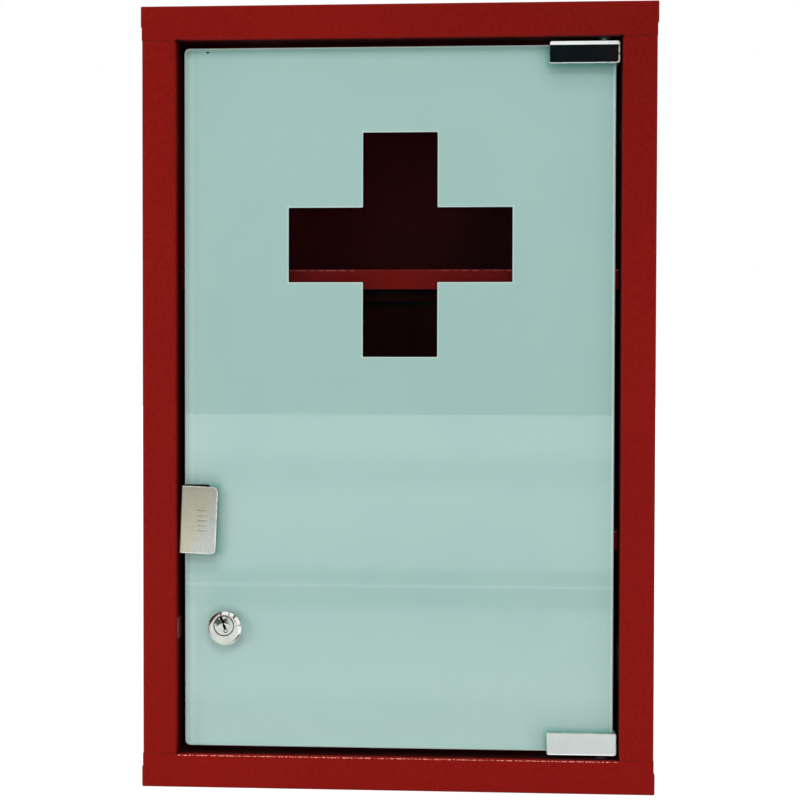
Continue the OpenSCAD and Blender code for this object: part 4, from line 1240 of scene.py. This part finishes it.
def make_lock_fittings():
    seal = washer(10.05, BARREL_RING_R, 0.0, 0.5, 0.12)
    piece("lock_seal", seal, "door", "liner_plastic", ["lock_gasket"], place=AT_LOCK)
    ring = washer(12.0, BARREL_RING_R, -4.8, -4.2, 0.15)
    piece("glass_washer", ring, "door", "screw_steel", ["lock_washer"], place=AT_LOCK)

    across, foot, crown, bore = 22.0, -8.3, -4.8, 8.24
    flats = hexagon(across)
    rings = []
    for depth in (0.0, 0.25, 0.5, 0.8, 1.15, 2.35, 2.7, 3.0, 3.25, 3.5):
        limit = across / 2 - 0.25 + min(depth, crown - foot - depth) / math.tan(math.radians(30))
        rings.append((lambda a, limit=limit: min(flats(a), limit), crown - depth))
    rings += [(bore + 0.51, foot), (bore, foot + 0.5), (bore, crown - 0.5), (bore + 0.51, crown)]
    nut = plain_mesh(turned(rings, 96, closed=True))
    piece("barrel_nut", nut, "door", "nut_zinc", ["lock_nut"], place=AT_LOCK, sharp=25)

    ring = washer(4.48, 1.54, CAM_BACK, CAM_S - 2.0, 0.12, 64)
    piece("cam_ring", ring, "lock_rotor", "screw_steel", ["cam_washer"], place=AT_PLUG)


make_lock_head()
make_lock_core()
make_lock_fittings()

# ---------------------------------------------------------------- screws, rivets and spring


def pan_screw(head_r, head_h, shank_r, shank_len):
    """Pan head screw with a cross recess, head up from z = 0."""
    crown = ((0.0, 1.0), (0.35, 0.99), (0.62, 0.93), (0.82, 0.8), (0.94, 0.6), (0.99, 0.36), (1.0, 0.12),
             (0.96, 0.0))
    rings = [(r * head_r, h * head_h) for r, h in crown] + [
        (shank_r, 0.0), (shank_r, 1.5 * shank_r - shank_len), (0.35 * shank_r, -shank_len), (0, -shank_len)]
    recess = plate(cross_outline(0.13 * head_r, 0.55 * head_r), [],
                   [(-0.04 * head_r, head_h + 0.5), (0.06 * head_r, 0.35 * head_h)])
    return cut_by(plain_mesh(turned(rings, 40)), [plain_mesh(recess)])


def blind_rivet():
    """Blind rivet with a pulled-stem hollow in its dome, head up from z = 0."""
    return plain_mesh(turned([
        (0, 0.5), (0.7, 0.52), (0.82, 0.9), (1.0, 1.05), (1.6, 1.04), (2.3, 0.86), (2.85, 0.56), (3.12, 0.3),
        (3.2, 0.12), (3.18, 0.0), (1.6, 0.0), (1.6, -1.7), (2.2, -1.8), (2.25, -3.0), (2.1, -4.2),
        (1.6, -4.8), (0.6, -4.9), (0, -4.9)], 32))


def make_fasteners():
    places = [((side * SIDE_WALL_X, y, z), (side, 0, 0))
              for side in (-1, 1) for y in RIVET_YS for z in RIVET_ZS]
    rivets = fastener_mesh(blind_rivet(), places, "red_powder_coat", 11)
    piece("rivet_set", rivets, "cabinet", "red_powder_coat", ["shelf_rivets"], place=AS_DRAWN)

    places = [((x, LATCH_SCREW_Y, LATCH_SCREW_Z), (0, 0, 1)) for x in LATCH_SCREW_XS]
    screws = fastener_mesh(pan_screw(2.85, 1.8, 1.5, 7.0), places, "screw_steel", 7)
    piece("latch_screw_set", screws, "cabinet", "screw_steel", ["latch_screws"], place=AS_DRAWN)

    rear = tuple(AT_PLUG @ Vector((0, 0, CAM_BACK)))
    screw = fastener_mesh(pan_screw(3.0, 2.0, 1.5, 5.5), [(rear, (0, 1, 0))], "screw_steel", 3)
    piece("cam_pan_screw", screw, "lock_rotor", "screw_steel", ["cam_screw"], place=AS_DRAWN)

    spring = coil_mesh("spring_steel", Radius=3.8, Rise=7.1, Turns=6.0, Section=0.4, Sides=10, Steps=36)
    spring = piece("plunger_spring", spring, "cabinet", "spring_steel", ["latch_spring"],
                   place=Matrix.Translation(SPRING_END) @ FRONTAL)
    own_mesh(spring)


make_fasteners()

# ---------------------------------------------------------------- studio
# In metres and watts.

LAMP_AIM = Vector((0.0, -0.13, 0.0))

# Bands on the floor for gloss to show: distance in front, half width, half width with soft edge, added glow
FLOOR_BANDS = (
    (0.81, 0.10, 0.16, -0.95),
    (2.5, 0.2, 0.6, -0.5),
    (0.26, 0.06, 0.09, -0.56),
    (0.822, 0.006, 0.014, 1.3))

# Dark beams overhead: X of the way they are seen along, half width, half width with soft edge, and share
CEILING_BEAMS = ((0.62, 0.05, 0.09, 1.0), (-0.43, 0.06, 0.10, 1.0), (0.20, 0.035, 0.07, 0.8))


def emitter(name, place, size, watts):
    """Soft rectangular lamp that doesn't show in gloss: the room gives the reflections."""
    lamp = bpy.data.lights.new(name, "AREA")
    lamp.shape = "RECTANGLE"
    lamp.size, lamp.size_y = size
    lamp.energy = watts
    place = Vector(place)
    made = in_scene(name, lamp)
    turn = (LAMP_AIM - place).to_track_quat("-Z", "Y").to_matrix().to_4x4()
    made.matrix_world = Matrix.Translation(place) @ turn
    made.visible_glossy = False
    made.visible_transmission = False


def emptied(owner):
    owner.use_nodes = True
    owner.node_tree.nodes.clear()
    return Tree(owner.node_tree)


def make_floor():
    """Pale floor that shows white, apart from the cabinet's own shadow."""
    low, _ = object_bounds()
    mesh = bpy.data.meshes.new("pale_floor")
    x, near, far = 9.0, -7.2, 9.0
    corners = [(-x, near, low.z), (x, near, low.z), (x, far, low.z), (-x, far, low.z)]
    mesh.from_pydata(corners, [], [(0, 1, 2, 3)])
    pale = bpy.data.materials.new("pale_floor")
    t = emptied(pale)
    rays = t.add("ShaderNodeLightPath").outputs
    gloss = t.most(rays["Is Glossy Ray"], rays["Is Transmission Ray"])
    place = t.add("ShaderNodeTexCoord").outputs["Object"]
    ahead = t.times(t.axes(place)["Y"], -1.0)
    bands = [t.times(t.span(ahead, *reach), added) for *reach, added in FLOOR_BANDS]
    extra = t.plus(*bands, t.ramp(ahead, 3.2, 3.6, 0.0, 0.4))
    glow = t.plus(t.ramp(t.vector("LENGTH", place), 0.25, 1.3, 0.68, 0.92), t.times(gloss, extra))
    glow = t.times(glow, t.most(rays["Is Camera Ray"], gloss))
    diffuse = t.add("ShaderNodeBsdfDiffuse", {"Color": (0.8, 0.8, 0.8, 1)})
    shine = t.add("ShaderNodeEmission", {"Color": (1, 1, 1, 1), "Strength": glow})
    both = t.add("ShaderNodeAddShader", {0: diffuse.outputs[0], 1: shine.outputs[0]})
    t.add("ShaderNodeOutputMaterial", {"Surface": both.outputs[0]})
    mesh.materials.append(pale)
    floor = in_scene("pale_floor", mesh)


def make_room():
    """White all round, with a near-black wall and beams for gloss to pick up; even dim fill for the rest."""
    scene.world = bpy.data.worlds.new("studio")
    t = emptied(scene.world)
    rays = t.add("ShaderNodeLightPath").outputs
    way = t.axes(t.add("ShaderNodeTexCoord").outputs["Generated"])
    ahead = t.plus(t.times(way["Y"], -0.906), t.times(way["X"], -0.423))
    wall = t.times(t.ramp(ahead, 0.15, 0.30), t.ramp(way["Z"], 0.47, 0.42))
    beams = [t.times(t.span(way["X"], *reach), share) for *reach, share in CEILING_BEAMS]
    beams = t.times(t.most(*beams), t.ramp(way["Z"], 0.3, 0.45, 0.0, 0.9))
    side = t.times(t.span(way["Z"], 0.02, 0.06, 0.14), t.ramp(way["X"], 0.90, 0.95, 0.0, 0.6))
    warm = t.times(t.ramp(way["X"], 0.118, 0.134), t.ramp(way["Z"], 0.15, 0.22))
    dark = t.blend(warm, (0.003, 0.007, 0.009, 1), (0.015, 0.0085, 0.0050, 1))
    seen = t.blend(t.most(wall, beams, side), (1.0, 1.0, 1.0, 1), dark)
    room, fill, white = (t.add("ShaderNodeBackground", {"Color": colour}).outputs[0]
                         for colour in (seen, (0.56, 0.56, 0.56, 1), (1, 1, 1, 1)))
    bounced = t.least(rays["Glossy Depth"], 1.0)
    straight = t.most(rays["Is Camera Ray"], t.less(rays["Is Transmission Ray"], bounced))
    gloss = t.most(rays["Is Glossy Ray"], rays["Is Transmission Ray"])
    mixed = t.add("ShaderNodeMixShader", {0: gloss, 1: fill, 2: room}).outputs[0]
    mixed = t.add("ShaderNodeMixShader", {0: straight, 1: mixed, 2: white}).outputs[0]
    t.add("ShaderNodeOutputWorld", {"Surface": mixed})


make_floor()
make_room()
emitter("overhead_lamp", (0.05, -2.60, 2.45), (1.6, 0.9), 30.0)
emitter("left_softbox", (-1.58, -1.36, 0.10), (0.8, 1.0), 9.8)
emitter("right_softbox", (1.58, -1.36, -0.25), (0.8, 1.0), 7.0)
scene.view_settings.view_transform = "Standard"
